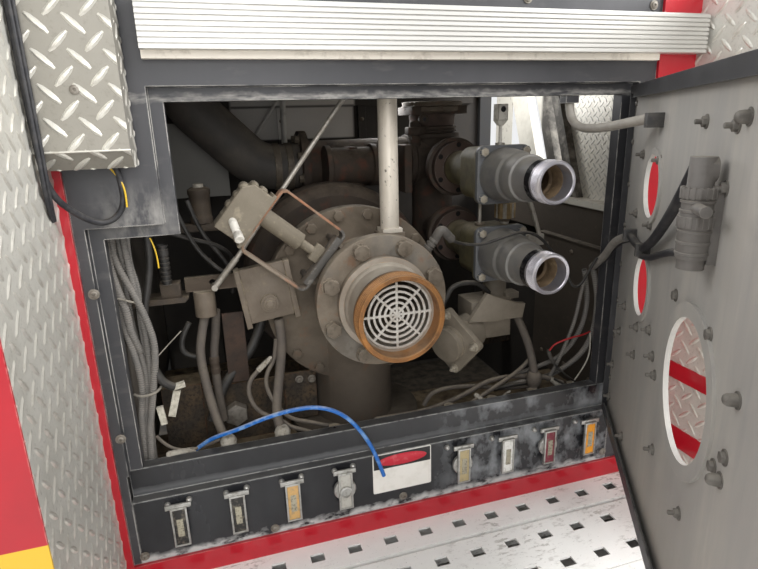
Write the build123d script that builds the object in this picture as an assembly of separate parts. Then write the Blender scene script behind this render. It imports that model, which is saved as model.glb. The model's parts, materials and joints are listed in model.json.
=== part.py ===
"""Pump compartment of a fire engine: one side's pump bay with its panel, door, running board, pump and valves.

Frame: X runs along the vehicle, Y from the open side into the vehicle, Z up. Y = 0 is the outer face of the
pump panel, Z = 0 is the underside of the base frame, and X = 0 is midway between the two return walls.
"""
from build123d import *
import math
import os

os.makedirs("parts", exist_ok=True)

# Body and panel
HALF_W = 568.0          # to the inside of each return wall
RECESS = 315.0          # how far the panel sits behind the body side
DEPTH = 850.0           # from the panel to the back of the module
TOP = 1120.0
SHEET = 3.0
TUBE = 40.0             # square tube of the uprights
SIDE_RAIL_Z = 200.0     # underside of the rails that carry the pump
POLE_BEAM_Y = (100.0, 140.0)
SILL = 50.0             # square tube of the base
CHASSIS_X = 543.0       # bolt holes down through the sills
CHASSIS_Y = (100.0, 780.0)
CHASSIS_HOLE_R = 9.0
CORNER_W = 100.0        # painted corner post beside each return wall

# Door opening, an L: the upper left corner stays covered
OPEN_X = (-518.0, 427.0)
OPEN_Z = (314.0, 928.0)
STEP_X = -405.0
STEP_Z = 725.0
REBATE = 24.0           # the door sits in a rebate this wide
REBATE_Y = 20.0
LIP_Y = 44.0            # back of the return lip round the opening
DROP = 30.0             # the rebate and the door reach lower than the opening
PANEL_X = (-556.0, 483.0)

# Lower panel and running board
DRAIN_Z = (132.0, 260.0)
DRAIN_X = (-542.0, 451.0)
BOARD_TOP = 90.0
BOARD_H = 40.0
PITCH = 101.5           # between drain handles
HANDLE_Z = 204.0
NECK_TOP = 278.0        # hose necks of the drain valves end here
LEFT_HANDLES = [-467.0 + PITCH * i for i in range(4)]
RIGHT_HANDLES = [89.0 + PITCH * i for i in range(4)]
SLOT_PITCH = 74.0

# Rub rail above the door
RAIL_X = (-425.0, 562.0)
RAIL_Z = (997.0, 1064.0)
RAIL_OUT = 34.0

# Intake
IN_X, IN_Z = -62.0, 565.0
IN_BORE = 65.0
IN_THREAD_R = 79.5      # 5 inch hose thread
IN_FACE = -80.0
FLANGE_R = 127.0
FLANGE_Y = (30.0, 54.0)
BOLT_CIRCLE = 108.0

# Discharges
OUT_X = 229.0
OUT_Z = (779.0, 613.0)
OUT_THREAD_R = 39.0     # 2.5 inch hose thread
OUT_BORE = 31.75
OUT_FACE = -76.0
VALVE_Y = (120.0, 350.0)
VALVE_W = 118.0         # square flange of the valve
VALVE_CASE_W = 108.0
HEADER_Y, HEADER_Z = 500.0, 790.0

# Pump casing
COVER = (-85.0, 545.0)
COVER_R = 185.0
COVER_Y = (150.0, 182.0)
LEG_Y = 205.0
BASE_Z = 240.0

# Hand controls: a cylinder in a strap frame, tilted, and the valves under it
ACTUATOR_AT = (-292.0, 102.0, 752.0)
ACTUATOR_TILT = 40.0
SQUARE_VALVE_AT = (-268.0, 113.0, 583.0)
SQUARE_VALVE_TILT = -8.0
RELIEF_AT = (111.0, 105.0, 429.0)
RELIEF_AXIS = (-0.879, -0.465, -0.103)
PULL_ROD = [(-318.0, 128.0, 652.0), (-64.0, 128.0, 978.0)]

# Inner side walls
LEFT_WALL_X = -528.0
RIGHT_WALL_X = 470.0
LEDGE_Z = 600.0         # the right wall steps outwards here
WINDOW_SILL_Z = 685.0   # above this the right wall is open, with raked posts
POST_RAKE = 0.4         # how far the posts lean, in Y for each unit of Z

# Door
PIN = (449.0, -7.0)
OPEN_ANGLE = 59.0       # as it stands in the photograph
DOOR_GROW = 14.0        # how far the door reaches past the opening
DOOR_Y = 14.0           # back of the door's folded edge
DOOR_LIP = 22.0         # the folded edge turns in this far over the door's back
HOLE_R = 50.0           # round the discharges
HOLE_SHIFT = -3.0       # towards the free edge, so the hole clears the thread as the door swings
BIG_HOLE_R = 89.0       # round the intake
SMALL_RIM = 10.0        # width of the rims round the holes
BIG_RIM = 19.0
KNUCKLES = 16
HINGE_Z = (290.0, 930.0)
CONNECTOR_S = 541.0     # from the hinge pin to the connector on the door's inner face
CLAMPS = [(134.0, 679.0), (249.0, 677.0)]   # cable clamps on the door: from the pin, height
STAY_S, STAY_Z = 237.0, 881.0

# Hoses and cables: points along each one's middle
STAY = [(320, 34, 926), (320, 34, 893), (322, 5, 868), (325, -60, 868), (320, -120, 876), (314, -180, 883)]
HARNESS = [(418, 54, 577), (416, 38, 590), (416, 14, 612), (407, -14, 642), (389, -60, 666), (369, -106, 678)]
DOOR_CABLES = [
    (7.0, [(311, 12, 681), (255, 14, 678), (199, 14, 684), (149, 15, 701), (93, 17, 730), (27, 20, 769), (-28, 23, 805),
           (-70, 25, 836)]),
    (5.0, [(212, 13, 668), (160, 12, 676), (116, 12, 691), (58, 13, 709), (-4, 18, 724), (-72, 25, 735)]),
]
LOOM_ROUTE = [(0, 0, 1078), (2, 0, 700), (10, -2, 560), (15, -4, 440), (1, -2, 246)]
LOOM_PLACES = [(-511, 62), (-495, 60), (-479, 64), (-503, 78), (-487, 80)]
LOOM_R = 7.5
RIGHT_LOOMS = [
    (7.0, [(300, 112, 306), (350, 105, 316), (398, 88, 333), (425, 68, 385), (441, 60, 450), (436, 58, 520),
           (420, 57, 570)]),
    (6.0, [(288, 122, 316), (345, 116, 331), (383, 100, 352), (408, 84, 398), (423, 76, 455), (420, 72, 520),
           (407, 70, 566)]),
    (4.5, [(352, 62, 330), (363, 60, 358), (383, 60, 421), (400, 58, 477), (404, 55, 530), (401, 54, 562)]),
]
SENSOR_LINE = [(70, 24, 676), (98, 30, 657), (145, 46, 648), (188, 54, 662), (238, 54, 675), (290, 48, 648),
               (322, 40, 590), (342, 32, 554), (362, 28, 545), (383, 28, 562), (399, 24, 590), (404, 18, 606)]
DRAIN_HOSES = [
    (11.0, [(-365.5, 60, 285), (-381, 85, 340), (-396, 110, 390), (-399, 140, 474), (-388, 150, 537)]),
    (10.0, [(-264, 60, 285), (-266, 85, 330), (-262, 110, 400), (-256, 126, 470), (-260, 130, 522)]),
    (6.0, [(-300, 152, 446), (-323, 128, 395), (-312, 104, 350), (-262, 92, 314), (-205, 74, 303), (-164, 60, 286)]),
    (7.0, [(-30, 92, 282), (60, 96, 282), (137, 92, 302), (215, 92, 324), (262, 112, 316)]),
    (5.5, [(104, 70, 278), (170, 64, 312), (222, 64, 342), (268, 68, 368)]),
    (5.0, [(-75, 76, 272), (0, 80, 272), (60, 74, 300), (122, 70, 334), (175, 84, 326), (244, 88, 300)]),
    (12.0, [(274, 145, 494), (281, 128, 464), (293, 108, 424), (302, 90, 380), (304, 76, 334)]),
]
BLUE_TUBE = [(-440, 62, 300), (-418, 58, 317), (-393, 48, 334), (-350, 32, 350), (-300, 15, 374), (-250, 2, 388),
             (-202, -10, 392), (-158, -20, 372), (-125, -26, 328), (-103, -28, 280), (-88, -27, 229)]
BLUE_R = 4.0
BOX_CABLE = [(-562, -84, 1112), (-562, -84, 850), (-556, -72, 806), (-540, -45, 779), (-518, -18, 757), (-496, -11, 758),
             (-478, -10, 778), (-476, -12, 812), (-480, -14, 837)]


def block(x, y, z):
    """A box from three (low, high) pairs."""
    size = [abs(b - a) for a, b in (x, y, z)]
    middle = [(a + b) / 2 for a, b in (x, y, z)]
    return Pos(*middle) * Box(*size)


def rod_y(x, z, y, r):
    """A cylinder along Y from y[0] to y[1]."""
    return Pos(x, (y[0] + y[1]) / 2, z) * Rot(90, 0, 0) * Cylinder(r, abs(y[1] - y[0]))


def rod_x(y, z, x, r):
    return Pos((x[0] + x[1]) / 2, y, z) * Rot(0, 90, 0) * Cylinder(r, abs(x[1] - x[0]))


def rod_z(x, y, z, r):
    return Pos(x, y, (z[0] + z[1]) / 2) * Cylinder(r, abs(z[1] - z[0]))


def ring_y(x, z, y, r_out, r_in):
    return rod_y(x, z, y, r_out) - rod_y(x, z, (y[0] - 1, y[1] + 1), r_in)


def turned_y(x, z, profile):
    """A solid of revolution about the Y line through x, z. profile is a list of (y, r)."""
    points = [(0, profile[0][0])] + [(r, y) for y, r in profile] + [(0, profile[-1][0])]
    face = make_face(Polyline(*points, close=True))
    return Pos(x, 0, z) * revolve(face, Axis.Y)


def hex_y(x, z, y, across, turn=0.0):
    """A hexagon bolt head along Y."""
    head = extrude(RegularPolygon(across / math.sqrt(3), 6), abs(y[1] - y[0]))
    return Pos(x, max(y), z) * Rot(90, 0, 0) * Rot(0, 0, turn) * head


def plate_xz(points, y):
    """A flat plate in the XZ plane from y[0] to y[1]."""
    face = make_face(Polyline(*points, close=True))
    return Pos(0, y[1], 0) * Rot(90, 0, 0) * extrude(face, y[1] - y[0])


def rounded_y(x, z, y, w, h, r):
    """A rounded rectangle plate facing Y."""
    return Pos(x, max(y), z) * Rot(90, 0, 0) * extrude(RectangleRounded(w, h, r), abs(y[1] - y[0]))


def bend_radii(points):
    """The largest arc at each inner point of a route: 0.45 of its shorter run over the tangent of half the turn."""
    p = [Vector(*q) for q in points]
    radii = []
    for a, b, c in zip(p, p[1:], p[2:]):
        turn = math.radians((b - a).get_angle(c - b))
        radii.append(0.45 * min((b - a).length, (c - b).length) / math.tan(turn / 2))
    return radii


def tube(points, r, bend=1e9):
    """A round hose through points: straight runs joined by tangent arcs no larger than bend."""
    radii = [min(bend, radius) for radius in bend_radii(points)]
    path = FilletPolyline(*points, radius=radii) if radii else Line(*points)
    start = Plane(origin=path @ 0, z_dir=path % 0)
    return sweep(start * Circle(r), path=path)


def prism_x(points, x):
    """A straight bar along X whose section is a list of (y, z)."""
    face = Plane.YZ.offset(x[0]) * make_face(Polyline(*points, close=True))
    return extrude(face, x[1] - x[0])


def opening(grow, drop=0.0):
    """The L-shaped opening's corners, grown outwards by grow and at the bottom by drop more."""
    x0, x1 = OPEN_X[0] - grow, OPEN_X[1] + grow
    z0, z1 = OPEN_Z[0] - grow - drop, OPEN_Z[1] + grow
    sx, sz = STEP_X - grow, STEP_Z + grow
    return [(x0, z0), (x1, z0), (x1, z1), (sx, z1), (sx, sz), (x0, sz)]


nodes = {}


def bar(a, b, r):
    """A straight round bar between two points."""
    return tube([a, b], r)


# Base: two sills along Y and three cross sills, welded square tube
def base_frame():
    sills = [block(side, (-RECESS, DEPTH), (0, SILL)) for side in
             ((-HALF_W, -HALF_W + SILL), (HALF_W - SILL, HALF_W))]
    crosses = [block((-HALF_W + SILL, HALF_W - SILL), y, (0, SILL)) for y in
               ((-RECESS, -RECESS + SILL), (-SILL / 2, SILL / 2), (DEPTH - SILL, DEPTH))]
    holes = [rod_z(x, y, (-1, SILL + 1), CHASSIS_HOLE_R) for x in (-CHASSIS_X, CHASSIS_X) for y in CHASSIS_Y]
    return Part() + sills + crosses - holes


# Uprights: four posts, a top ring, and side rails that carry the pump crossmembers
def upright_frame():
    front, back = (SHEET, SHEET + TUBE), (DEPTH - TUBE, DEPTH)
    left, right = (-HALF_W, -HALF_W + TUBE), (HALF_W - TUBE, HALF_W)
    slim_left = (-HALF_W, -HALF_W + 24)
    posts = [block(x, y, (SILL, TOP)) for x, y in
             ((slim_left, front), (right, front), (left, back), (right, back))]
    rails = [block(x, (front[1], back[0]), z) for x in (left, right)
             for z in ((SIDE_RAIL_Z, SIDE_RAIL_Z + TUBE), (TOP - TUBE, TOP))]
    rings = [block((-HALF_W + 24, right[0]), y, (TOP - TUBE, TOP)) for y in (front, POLE_BEAM_Y, back)]
    return Part() + posts + rails + rings


# Black panel round the door: folded sheet with a rebate and a return lip round the opening
def panel_surround():
    flat = block(PANEL_X, (0, SHEET), (DRAIN_Z[0], TOP))
    outer = plate_xz(opening(REBATE, DROP), (0, REBATE_Y + SHEET))
    hollow = plate_xz(opening(REBATE - SHEET, DROP), (-1, REBATE_Y))
    lip = plate_xz(opening(SHEET), (REBATE_Y, LIP_Y))
    body = flat + outer - hollow + lip - plate_xz(opening(0), (-1, LIP_Y + 1))
    return body - block(DRAIN_X, (-1, LIP_Y + 1), (0, OPEN_Z[0]))


# Clip under the header that holds the upper end of the door's stay, welded to the return lip
def stay_clip():
    x, y, _ = STAY[0]
    clip = block((x - 15, x + 13), (REBATE_Y + SHEET, LIP_Y), (OPEN_Z[1] - 14, OPEN_Z[1]))
    return clip - rod_z(x, y, (OPEN_Z[1] - 20, OPEN_Z[1]), 8)


# Lower black panel that carries the drain valves, its top edge folded back under the door
def drain_panel():
    (z0, z1), top = DRAIN_Z, OPEN_Z[0]
    profile = [(0, z0), (0, z1), (REBATE_Y, z1), (REBATE_Y, top), (LIP_Y, top), (LIP_Y, top - SHEET),
               (REBATE_Y + SHEET, top - SHEET), (REBATE_Y + SHEET, z1 - SHEET), (SHEET, z1 - SHEET), (SHEET, z0)]
    return prism_x(profile, DRAIN_X)


# Red painted frame between the black panel and the return walls, and the strip over the running board
def red_frame():
    left = block((-HALF_W, PANEL_X[0]), (-6, SHEET), (BOARD_TOP, TOP))
    right = block((PANEL_X[1], HALF_W), (-6, SHEET), (BOARD_TOP, TOP))
    sill = block((PANEL_X[0], PANEL_X[1]), (-6, SHEET), (BOARD_TOP, DRAIN_Z[0]))
    return left + sill + right


def return_wall(side):
    """Tread plate from the panel out to the body side. side is -1 for the left, 1 for the right."""
    x = sorted((side * HALF_W, side * (HALF_W + SHEET)))
    return block(x, (-RECESS, SHEET), (SILL, TOP))


def corner_skin(side):
    """Painted corner post: a folded sheet that wraps the outer edge of the return wall."""
    inner, outer, low = HALF_W + SHEET, HALF_W + CORNER_W, 10.0
    face = block((inner, outer), (-RECESS - SHEET, -RECESS), (low, TOP))
    edge = block((outer - SHEET, outer), (-RECESS, SHEET), (low, TOP))
    nose = block((HALF_W, inner), (-RECESS - SHEET, -RECESS), (low, TOP))
    back = block((inner, outer - SHEET), (0, SHEET), (low, TOP))
    skin = face + edge + nose + back
    return skin if side > 0 else mirror(skin, Plane.YZ)


# Tread plate box in the upper left corner of the recess, its lower front edge chamfered
def corner_box():
    out, low, chamfer = -77.0, 838.0, 25.0
    profile = [(-6, low), (out + chamfer, low), (out, low + chamfer), (out, TOP), (-6, TOP)]
    return prism_x(profile, (-HALF_W, -450.0))


# Ribbed aluminium rub rail and the plain lip under it
def rub_rail():
    ribs = 9
    (x0, x1), (z0, z1) = RAIL_X, RAIL_Z
    pitch, groove = (z1 - z0) / ribs, 2.2
    profile = [(0, z0), (-RAIL_OUT, z0)]
    for i in range(ribs):
        low, high = z0 + pitch * i, z0 + pitch * (i + 1)
        profile += [(-RAIL_OUT, high - groove), (-RAIL_OUT + 3, high - groove), (-RAIL_OUT + 3, high)]
        if i < ribs - 1:
            profile += [(-RAIL_OUT, high)]
    profile += [(0, z1)]
    return prism_x(profile, RAIL_X) - block((PANEL_X[1], x1 + 1), (-6, 1), (z0 - 1, z1 + 1))


def rail_lip():
    z0 = RAIL_Z[0] - 11
    return block((RAIL_X[0], PANEL_X[1] - 8), (-14, 0), (z0, RAIL_Z[0]))


# Running board: planks of punched aluminium extrusion, open underneath
def plank(y0, rows):
    """One plank from y0 outwards with rows of slots at the given distances from its inner edge."""
    width = rows[-1] + 38.0
    wall = 4.0
    x = (-HALF_W + 1, HALF_W - 1)
    shell = block(x, (y0 - width, y0), (BOARD_TOP - BOARD_H, BOARD_TOP))
    shell -= block((x[0] - 1, x[1] + 1), (y0 - width + wall, y0 - wall), (0, BOARD_TOP - wall))
    slots = [block((sx - 13, sx + 13), (y0 - row - 10, y0 - row + 10), (BOARD_TOP - wall - 1, BOARD_TOP + 1))
             for row in rows for sx in (SLOT_PITCH * i - 8 for i in range(-7, 8))]
    return shell - slots


# Drain valves along the lower panel: a pull handle in front, the valve behind, a hose neck on some
def drain_handle(x):
    w, h = 28.0, 80.0
    frame = block((x - w / 2, x + w / 2), (-16, -8), (HANDLE_Z - h / 2, HANDLE_Z + h / 2))
    inset = block((x - w / 2 + 4, x + w / 2 - 4), (-17, -13), (HANDLE_Z - h / 2 + 4, HANDLE_Z + h / 2 - 12))
    return frame - inset + rod_y(x, HANDLE_Z, (-8, 0), 9)


def drain_handles():
    return Part() + [drain_handle(x) for x in LEFT_HANDLES + RIGHT_HANDLES]


def drain_valves():
    bodies = [rod_y(x, HANDLE_Z, (SHEET, 60), 13) + rod_z(x, 45, (HANDLE_Z - 60, HANDLE_Z), 9)
              for x in LEFT_HANDLES + RIGHT_HANDLES]
    necks = [block((x - 11, x + 11), (49, 71), (HANDLE_Z - 13, NECK_TOP))
             for x in LEFT_HANDLES[1:] + RIGHT_HANDLES[1:]]
    riser = rod_z(LEFT_HANDLES[0] + 8, 57, (HANDLE_Z, NECK_TOP - 1), 6)
    return Part() + bodies + necks + riser


def label_plate():
    return rounded_y(-41, 215, (-1.5, 0), 124, 88, 3)


# Intake: bolted flange, collar, thread ring and strainer
def intake_flange():
    disc = ring_y(IN_X, IN_Z, FLANGE_Y, FLANGE_R, IN_BORE)
    bolts = [hex_y(IN_X + BOLT_CIRCLE * math.cos(a), IN_Z + BOLT_CIRCLE * math.sin(a),
                   (FLANGE_Y[0] - 14, FLANGE_Y[0]), 27, math.degrees(a))
             for a in (math.radians(22.5 + 45 * i) for i in range(8))]
    return disc + bolts


def intake_collar():
    profile = [(-50, 76), (0, 76), (6, 79), (14, 80), (15, 89), (FLANGE_Y[0], 89)]
    return turned_y(IN_X, IN_Z, profile) - rod_y(IN_X, IN_Z, (-51, FLANGE_Y[0] + 1), IN_BORE)


def intake_thread_ring():
    return ring_y(IN_X, IN_Z, (IN_FACE, -50), IN_THREAD_R, IN_BORE + 4)


def strainer():
    y = (-50, -46)
    rings = [ring_y(IN_X, IN_Z, y, r, r - 4) for r in (64.5, 54, 44, 34, 24, 14)]
    hub = rod_y(IN_X, IN_Z, y, 5)
    spokes = [Pos(IN_X, (y[0] + y[1]) / 2, IN_Z) * Rot(0, 45 * i, 0) * Box(124, 4, 4) for i in range(4)]
    return Part() + rings + hub + spokes


# Pump: suction body with its bolted cover and leg, volute, gearbox
def suction_body():
    x, z = COVER
    spool = turned_y(IN_X, IN_Z, [(FLANGE_Y[1], 84), (70, 84), (100, 78), (COVER_Y[0], 104)])
    cover = rod_y(x, z, COVER_Y, COVER_R)
    drum = rod_y(x, z, (COVER_Y[1], 300), 150)
    bolts = [hex_y(x + 171 * math.cos(a), z + 171 * math.sin(a), (COVER_Y[0] - 10, COVER_Y[0]), 19)
             for a in (math.radians(20 * i) for i in range(18) if i not in (8, 9))]
    leg = rod_z(x, LEG_Y, (BASE_Z, 470), 86)
    foot = rod_z(x, LEG_Y, (BASE_Z, BASE_Z + 22), 145)
    lug = block((-42, 8), (100, 140), (600, 680))
    bore = rod_y(IN_X, IN_Z, (FLANGE_Y[1] - 1, COVER_Y[0]), 62)
    return spool + cover + drum + bolts + leg + foot + lug - bore - volute_body()


def volute_body():
    return turned_y(*COVER, [(300, 190), (312, 208), (328, 215), (372, 215), (388, 208), (400, 190)])


def pump_volute():
    neck = tube([(-30, 350, 660), (-30, 490, 785)], 48)
    return volute_body() + neck - rod_x(HEADER_Y, HEADER_Z, (-140, 300), 60)


def pump_gearbox():
    case = Pos(-85, 505, 515) * Box(230, 210, 230)
    case = fillet(case.edges().filter_by(Axis.Y), 40)
    shaft = rod_y(-85, 470, (610, 700), 30) + rod_y(-85, 470, (700, 716), 60)
    foot = block((-150, -20), (565, 609), (BASE_Z, 400))
    return case + shaft + foot


def crossmembers():
    front = prism_x([(150, 200), (150, 240), (260, 240), (260, 200), (254, 200), (254, 234), (156, 234), (156, 200)],
                    (-HALF_W + TUBE, HALF_W - TUBE))
    rear = block((-HALF_W + TUBE, HALF_W - TUBE), (560, 615), (SIDE_RAIL_Z, BASE_Z))
    spacer = block((-490, -412), (180, 240), (BASE_Z, 385))
    web = block((-412, -236), (186, 192), (BASE_Z, 372))
    plate = block((-244, -175), (180, 186), (268, 378))
    return Part() + front + rear + spacer + web + plate


def support_pole():
    return rod_z(-17, 120, (688, TOP - TUBE), 18.75) + block((-37, 3), (100, 140), (680, 688))


# Discharge side: header pipe, the two valves, their adapters and thread rings
def discharge_manifold():
    header = rod_x(HEADER_Y, HEADER_Z, (-113, OUT_X), 60)
    end = rod_x(HEADER_Y, HEADER_Z, (-131, -113), 84)
    column = rod_z(OUT_X, HEADER_Y, (545, 905), 55)
    top = block((OUT_X - 75, OUT_X + 75), (HEADER_Y - 55, HEADER_Y + 55), (905, 925))
    stubs = [rod_y(OUT_X, z, (VALVE_Y[1] + 20, HEADER_Y), 42) + rod_y(OUT_X, z, (VALVE_Y[1], VALVE_Y[1] + 20), 70)
             for z in OUT_Z]
    return header + end + column + top + stubs


def tank_line():
    return tube([(-131, HEADER_Y, HEADER_Z), (-230, HEADER_Y, HEADER_Z), (-390, HEADER_Y, 950),
                 (-390, HEADER_Y, TOP - 4)], 55, 110)


def valve_body(z):
    front, back = VALVE_Y
    plate = rounded_y(OUT_X, z, (front - 8, front + 8), VALVE_W, VALVE_W, 16)
    case = rounded_y(OUT_X, z, (front + 8, 205), VALVE_CASE_W, VALVE_CASE_W, 24)
    neck = turned_y(OUT_X, z, [(205, 50), (230, 50), (290, 40), (330, 40)])
    disc = rod_y(OUT_X, z, (330, back), 62)
    bolts = [hex_y(OUT_X + dx, z + dz, (front - 16, front - 8), 17) for dx in (-47, 47) for dz in (-47, 47)]
    bore = rod_y(OUT_X, z, (front - 20, back + 1), OUT_BORE)
    return plate + case + neck + disc + bolts - bore


def outlet_adapter(z):
    profile = [(-46, 36), (-20, 38), (0, 39.5), (12, 41), (14, 45), (50, 46), (56, 50), (90, 54),
               (VALVE_Y[0] - 8, 55)]
    return turned_y(OUT_X, z, profile) - rod_y(OUT_X, z, (-47, VALVE_Y[0]), OUT_BORE)


def outlet_ring(z):
    return ring_y(OUT_X, z, (OUT_FACE, -46), OUT_THREAD_R, OUT_BORE)


# Actuator: a housing on a mounting plate, its cylinder and rod. Local X runs down the cylinder, local Z across it
def tilted(shape):
    return Pos(*ACTUATOR_AT) * Rot(0, ACTUATOR_TILT, 0) * shape


def actuator():
    housing = block((-28, 24), (-30, 30), (-60, 40)) - Pos(-28, 0, 40) * Rot(0, 45, 0) * Box(22, 80, 22)
    plate = block((24, 30), (-30, 30), (-68, 46))
    cylinder = rod_x(0, 2, (30, 118), 17)
    rod = rod_x(0, 2, (118, 148), 8.5)
    clevis = block((146, 163.5), (-12, 12), (-14, 20))
    bolt = rod_y(12, -52, (-66, -30), 6)
    return tilted(Part() + housing + plate + cylinder + rod + clevis + bolt)


def actuator_bracket():
    ring = rounded_y(104, -2.5, (-21.5, 7), 148, 139, 14) - rounded_y(104, -2.5, (-22, 8), 139, 130, 10)
    angle = block((164, 178), (-21.5, 7), (-56, 51))
    feet = [rod_y(171, z, (7, 48), 6.5) for z in (42, -47)]
    return tilted(ring - rod_x(0, 2, (25, 45), 17.8) + angle + feet)


# Valve at the left: square body with side flanges, a lever bar bolted to its flank and the casting under the bar
def square_valve():
    flange = rounded_y(0, 0, (0, 10), 104, 108, 12)
    sides = [block((x, x + 10), (-3, 30), (-62, 54)) for x in (-52, 42)]
    body = block((-46, 46), (10, 37), (-50, 50)) + rod_y(0, -20, (-8, 0), 17)
    valve = Pos(*SQUARE_VALVE_AT) * Rot(0, SQUARE_VALVE_TILT, 0) * (flange + sides + body)
    x, _, z = SQUARE_VALVE_AT
    lever = block((x - 148, x - 40), (145, 155), (591, 619)) - rod_y(-366, 606, (140, 160), 6)
    casting = rod_z(x - 116, 150, (541, 591), 20)
    return valve + lever + casting


# Relief valve beside the intake: cap, square flange set on edge, body with a yoke under the lower valve
def relief_valve():
    face = Plane(origin=RELIEF_AT, x_dir=(0.467 * 0.64, -0.884 * 0.64, 0.77), z_dir=RELIEF_AXIS)
    cap = face * (Pos(0, 0, 11) * Cylinder(38, 22))
    flange = face * extrude(RectangleRounded(112, 112, 10), -14)
    neck = face * (Pos(0, 0, -44) * Cylinder(40, 60))
    body = block((166, 262), (118, 190), (420, 506))
    yoke = plate_xz([(150, 470), (192, 530), (262, 502), (286, 498), (280, 466), (206, 466)], (98, 110))
    arm = block((206, 256), (110, 118), (470, 500))
    boss = rod_z(245, 165, (500, OUT_Z[1] - VALVE_CASE_W / 2), 26)
    lug = block((255, 288), (130, 162), (501, 515))
    return Part() + cap + flange + neck + body + yoke + arm + boss + lug


# Pull rod, its link and hanger, the clevis over the upper valve, and the links between the two valves
def control_rods():
    low, high = PULL_ROD
    pull = bar(low, high, 4.5) + block((-76, -52), (120, 136), (972, TOP - TUBE))
    link = bar(low, (-363, 128, 600), 6) + rod_y(-363, 600, (122, 145), 6)
    top = OUT_Z[0] + VALVE_CASE_W / 2
    clevis = rod_z(239, 150, (top, top + 8), 10) + rod_z(239, 150, (top, 888), 3.5)
    fork = block((228, 250), (140, 160), (886, 918)) - block((234, 244), (139, 161), (896, 920))
    low_top = OUT_Z[1] + VALVE_CASE_W / 2
    gap = (low_top, OUT_Z[0] - VALVE_CASE_W / 2)
    brass = rod_z(265, 165, gap, 9) + Pos(265, 165, 680) * extrude(RegularPolygon(22, 6), 32)
    left = rod_z(204, 165, gap, 4)
    edge = OUT_X + VALVE_W / 2
    ears = block((edge, edge + 14), (114, 126), (724, 742)) + block((edge, edge + 46), (114, 126), (622, 646))
    return pull + link + clevis + fork + brass + left + ears + bar((edge + 8, 120, 726), (edge + 38, 120, 644), 5)


# Inner walls of the bay. The rear one is a closed sheet with stiffening ribs
def rear_bulkhead():
    sheet = block((-HALF_W + TUBE, HALF_W - TUBE), (826, 829), (SILL, TOP - TUBE))
    ribs = [block((x - 12, x + 12), (814, 826), (SILL + 60, TOP - TUBE - 10)) for x in (-375, -125, 125, 375)]
    beam = block((-500, 500), (808, 826), (940, 964))
    return Part() + sheet + ribs + beam


# Left wall, with a riveted cover sheet that turns in from it behind the tank hose
def left_partition():
    wall = block((LEFT_WALL_X, LEFT_WALL_X + SHEET), (60, 800), (240, TOP - TUBE))
    return wall + block((LEFT_WALL_X, -300), (600, 600 + SHEET), (715, 900))


# Right wall: a lower sheet, a ledge, a shallower upper sheet and the sill of the window
def side_partition():
    x, z = RIGHT_WALL_X, LEDGE_Z
    lower = block((x, x + SHEET), (60, 345), (240, z))
    ledge = block((x - 4, x + 20), (60, 345), (z, z + SHEET))
    upper = block((x + 17, x + 20), (60, 620), (z + SHEET, WINDOW_SILL_Z))
    sill = block((x + 10, x + 58), (60, 620), (WINDOW_SILL_Z, WINDOW_SILL_Z + 14))
    return lower + ledge + upper + sill


def raked(y0, y1, x):
    """A leaning post on the window sill, from its front and rear edge at the top of the doorway."""
    z0, z1, level = WINDOW_SILL_Z + 14, TOP - TUBE, 945.0
    low, high = (z0 - level) * POST_RAKE, (z1 - level) * POST_RAKE
    points = [(y0 + low, z0), (y1 + low, z0), (y1 + high, z1), (y0 + high, z1)]
    return prism_x(points, x)


def window_posts():
    return Part() + [raked(y0, y1, (500, 524)) for y0, y1 in ((336, 368), (398, 436), (482, 560))]


def tread_bulkhead():
    z0, z1 = WINDOW_SILL_Z + 14, TOP - TUBE
    points = [(100, z0), (336 + (z0 - 945) * POST_RAKE, z0), (336 + (z1 - 945) * POST_RAKE, z1), (100, z1)]
    return prism_x(points, (520, 523))


# Hoses and wiring
def drain_hoses():
    hoses = [tube(route, r) for r, route in DRAIN_HOSES]
    x, y, z = DRAIN_HOSES[-1][1][-1]
    fitting = rod_z(x, y, (NECK_TOP, z), 18)
    a, b = Vector(*BLUE_TUBE[0]), Vector(*BLUE_TUBE[1])
    blue_fitting = bar(a + (a - b).normalized() * 26, a, 7)
    return Part() + hoses + fitting + blue_fitting


def wire_looms():
    left = [tube([(x + dx, y + dy, z) for dx, dy, z in LOOM_ROUTE], LOOM_R) for x, y in LOOM_PLACES]
    right = [tube(route, r) for r, route in RIGHT_LOOMS]
    return Part() + left + right


def sensor_line():
    elbow = bar((44, 44, 648), (58, 36, 668), 8) + bar((52, 33, 673), (70, 24, 676), 8)
    return elbow + tube(SENSOR_LINE, 3.5)


# Door, built shut and then swung open about the hinge pin
def swung(shape):
    return Pos(*PIN, 0) * Rot(0, 0, OPEN_ANGLE) * Pos(-PIN[0], -PIN[1], 0) * shape


def door_holes(big_grow=0.0, small_grow=0.0):
    big = rod_y(IN_X, IN_Z, (-20, 40), BIG_HOLE_R + big_grow)
    small = [rod_y(OUT_X + HOLE_SHIFT, z, (-20, 40), HOLE_R + small_grow) for z in OUT_Z]
    return Part() + big + small


def door_skin():
    return plate_xz(opening(DOOR_GROW, DROP), (0, SHEET)) - door_holes()


def door_edge():
    """Folded edge all round, which turns in over the back except along the hinge."""
    outer = plate_xz(opening(DOOR_GROW, DROP), (SHEET, DOOR_Y))
    hollow = plate_xz(opening(DOOR_GROW - SHEET, DROP), (0, DOOR_Y - SHEET))
    inside = plate_xz(opening(DOOR_GROW - DOOR_LIP, DROP), (0, DOOR_Y + 1))
    hinge_edge = OPEN_X[1] + DOOR_GROW
    hinge_side = block((hinge_edge - DOOR_LIP - 1, hinge_edge - SHEET), (0, DOOR_Y + 1),
                       (OPEN_Z[0] - DROP, OPEN_Z[1]))
    return outer - hollow - inside - hinge_side


def door_hole_rims():
    return (door_holes(BIG_RIM, SMALL_RIM) - door_holes()) & block((-900, 900), (SHEET, 7), (0, 1200))


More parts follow.
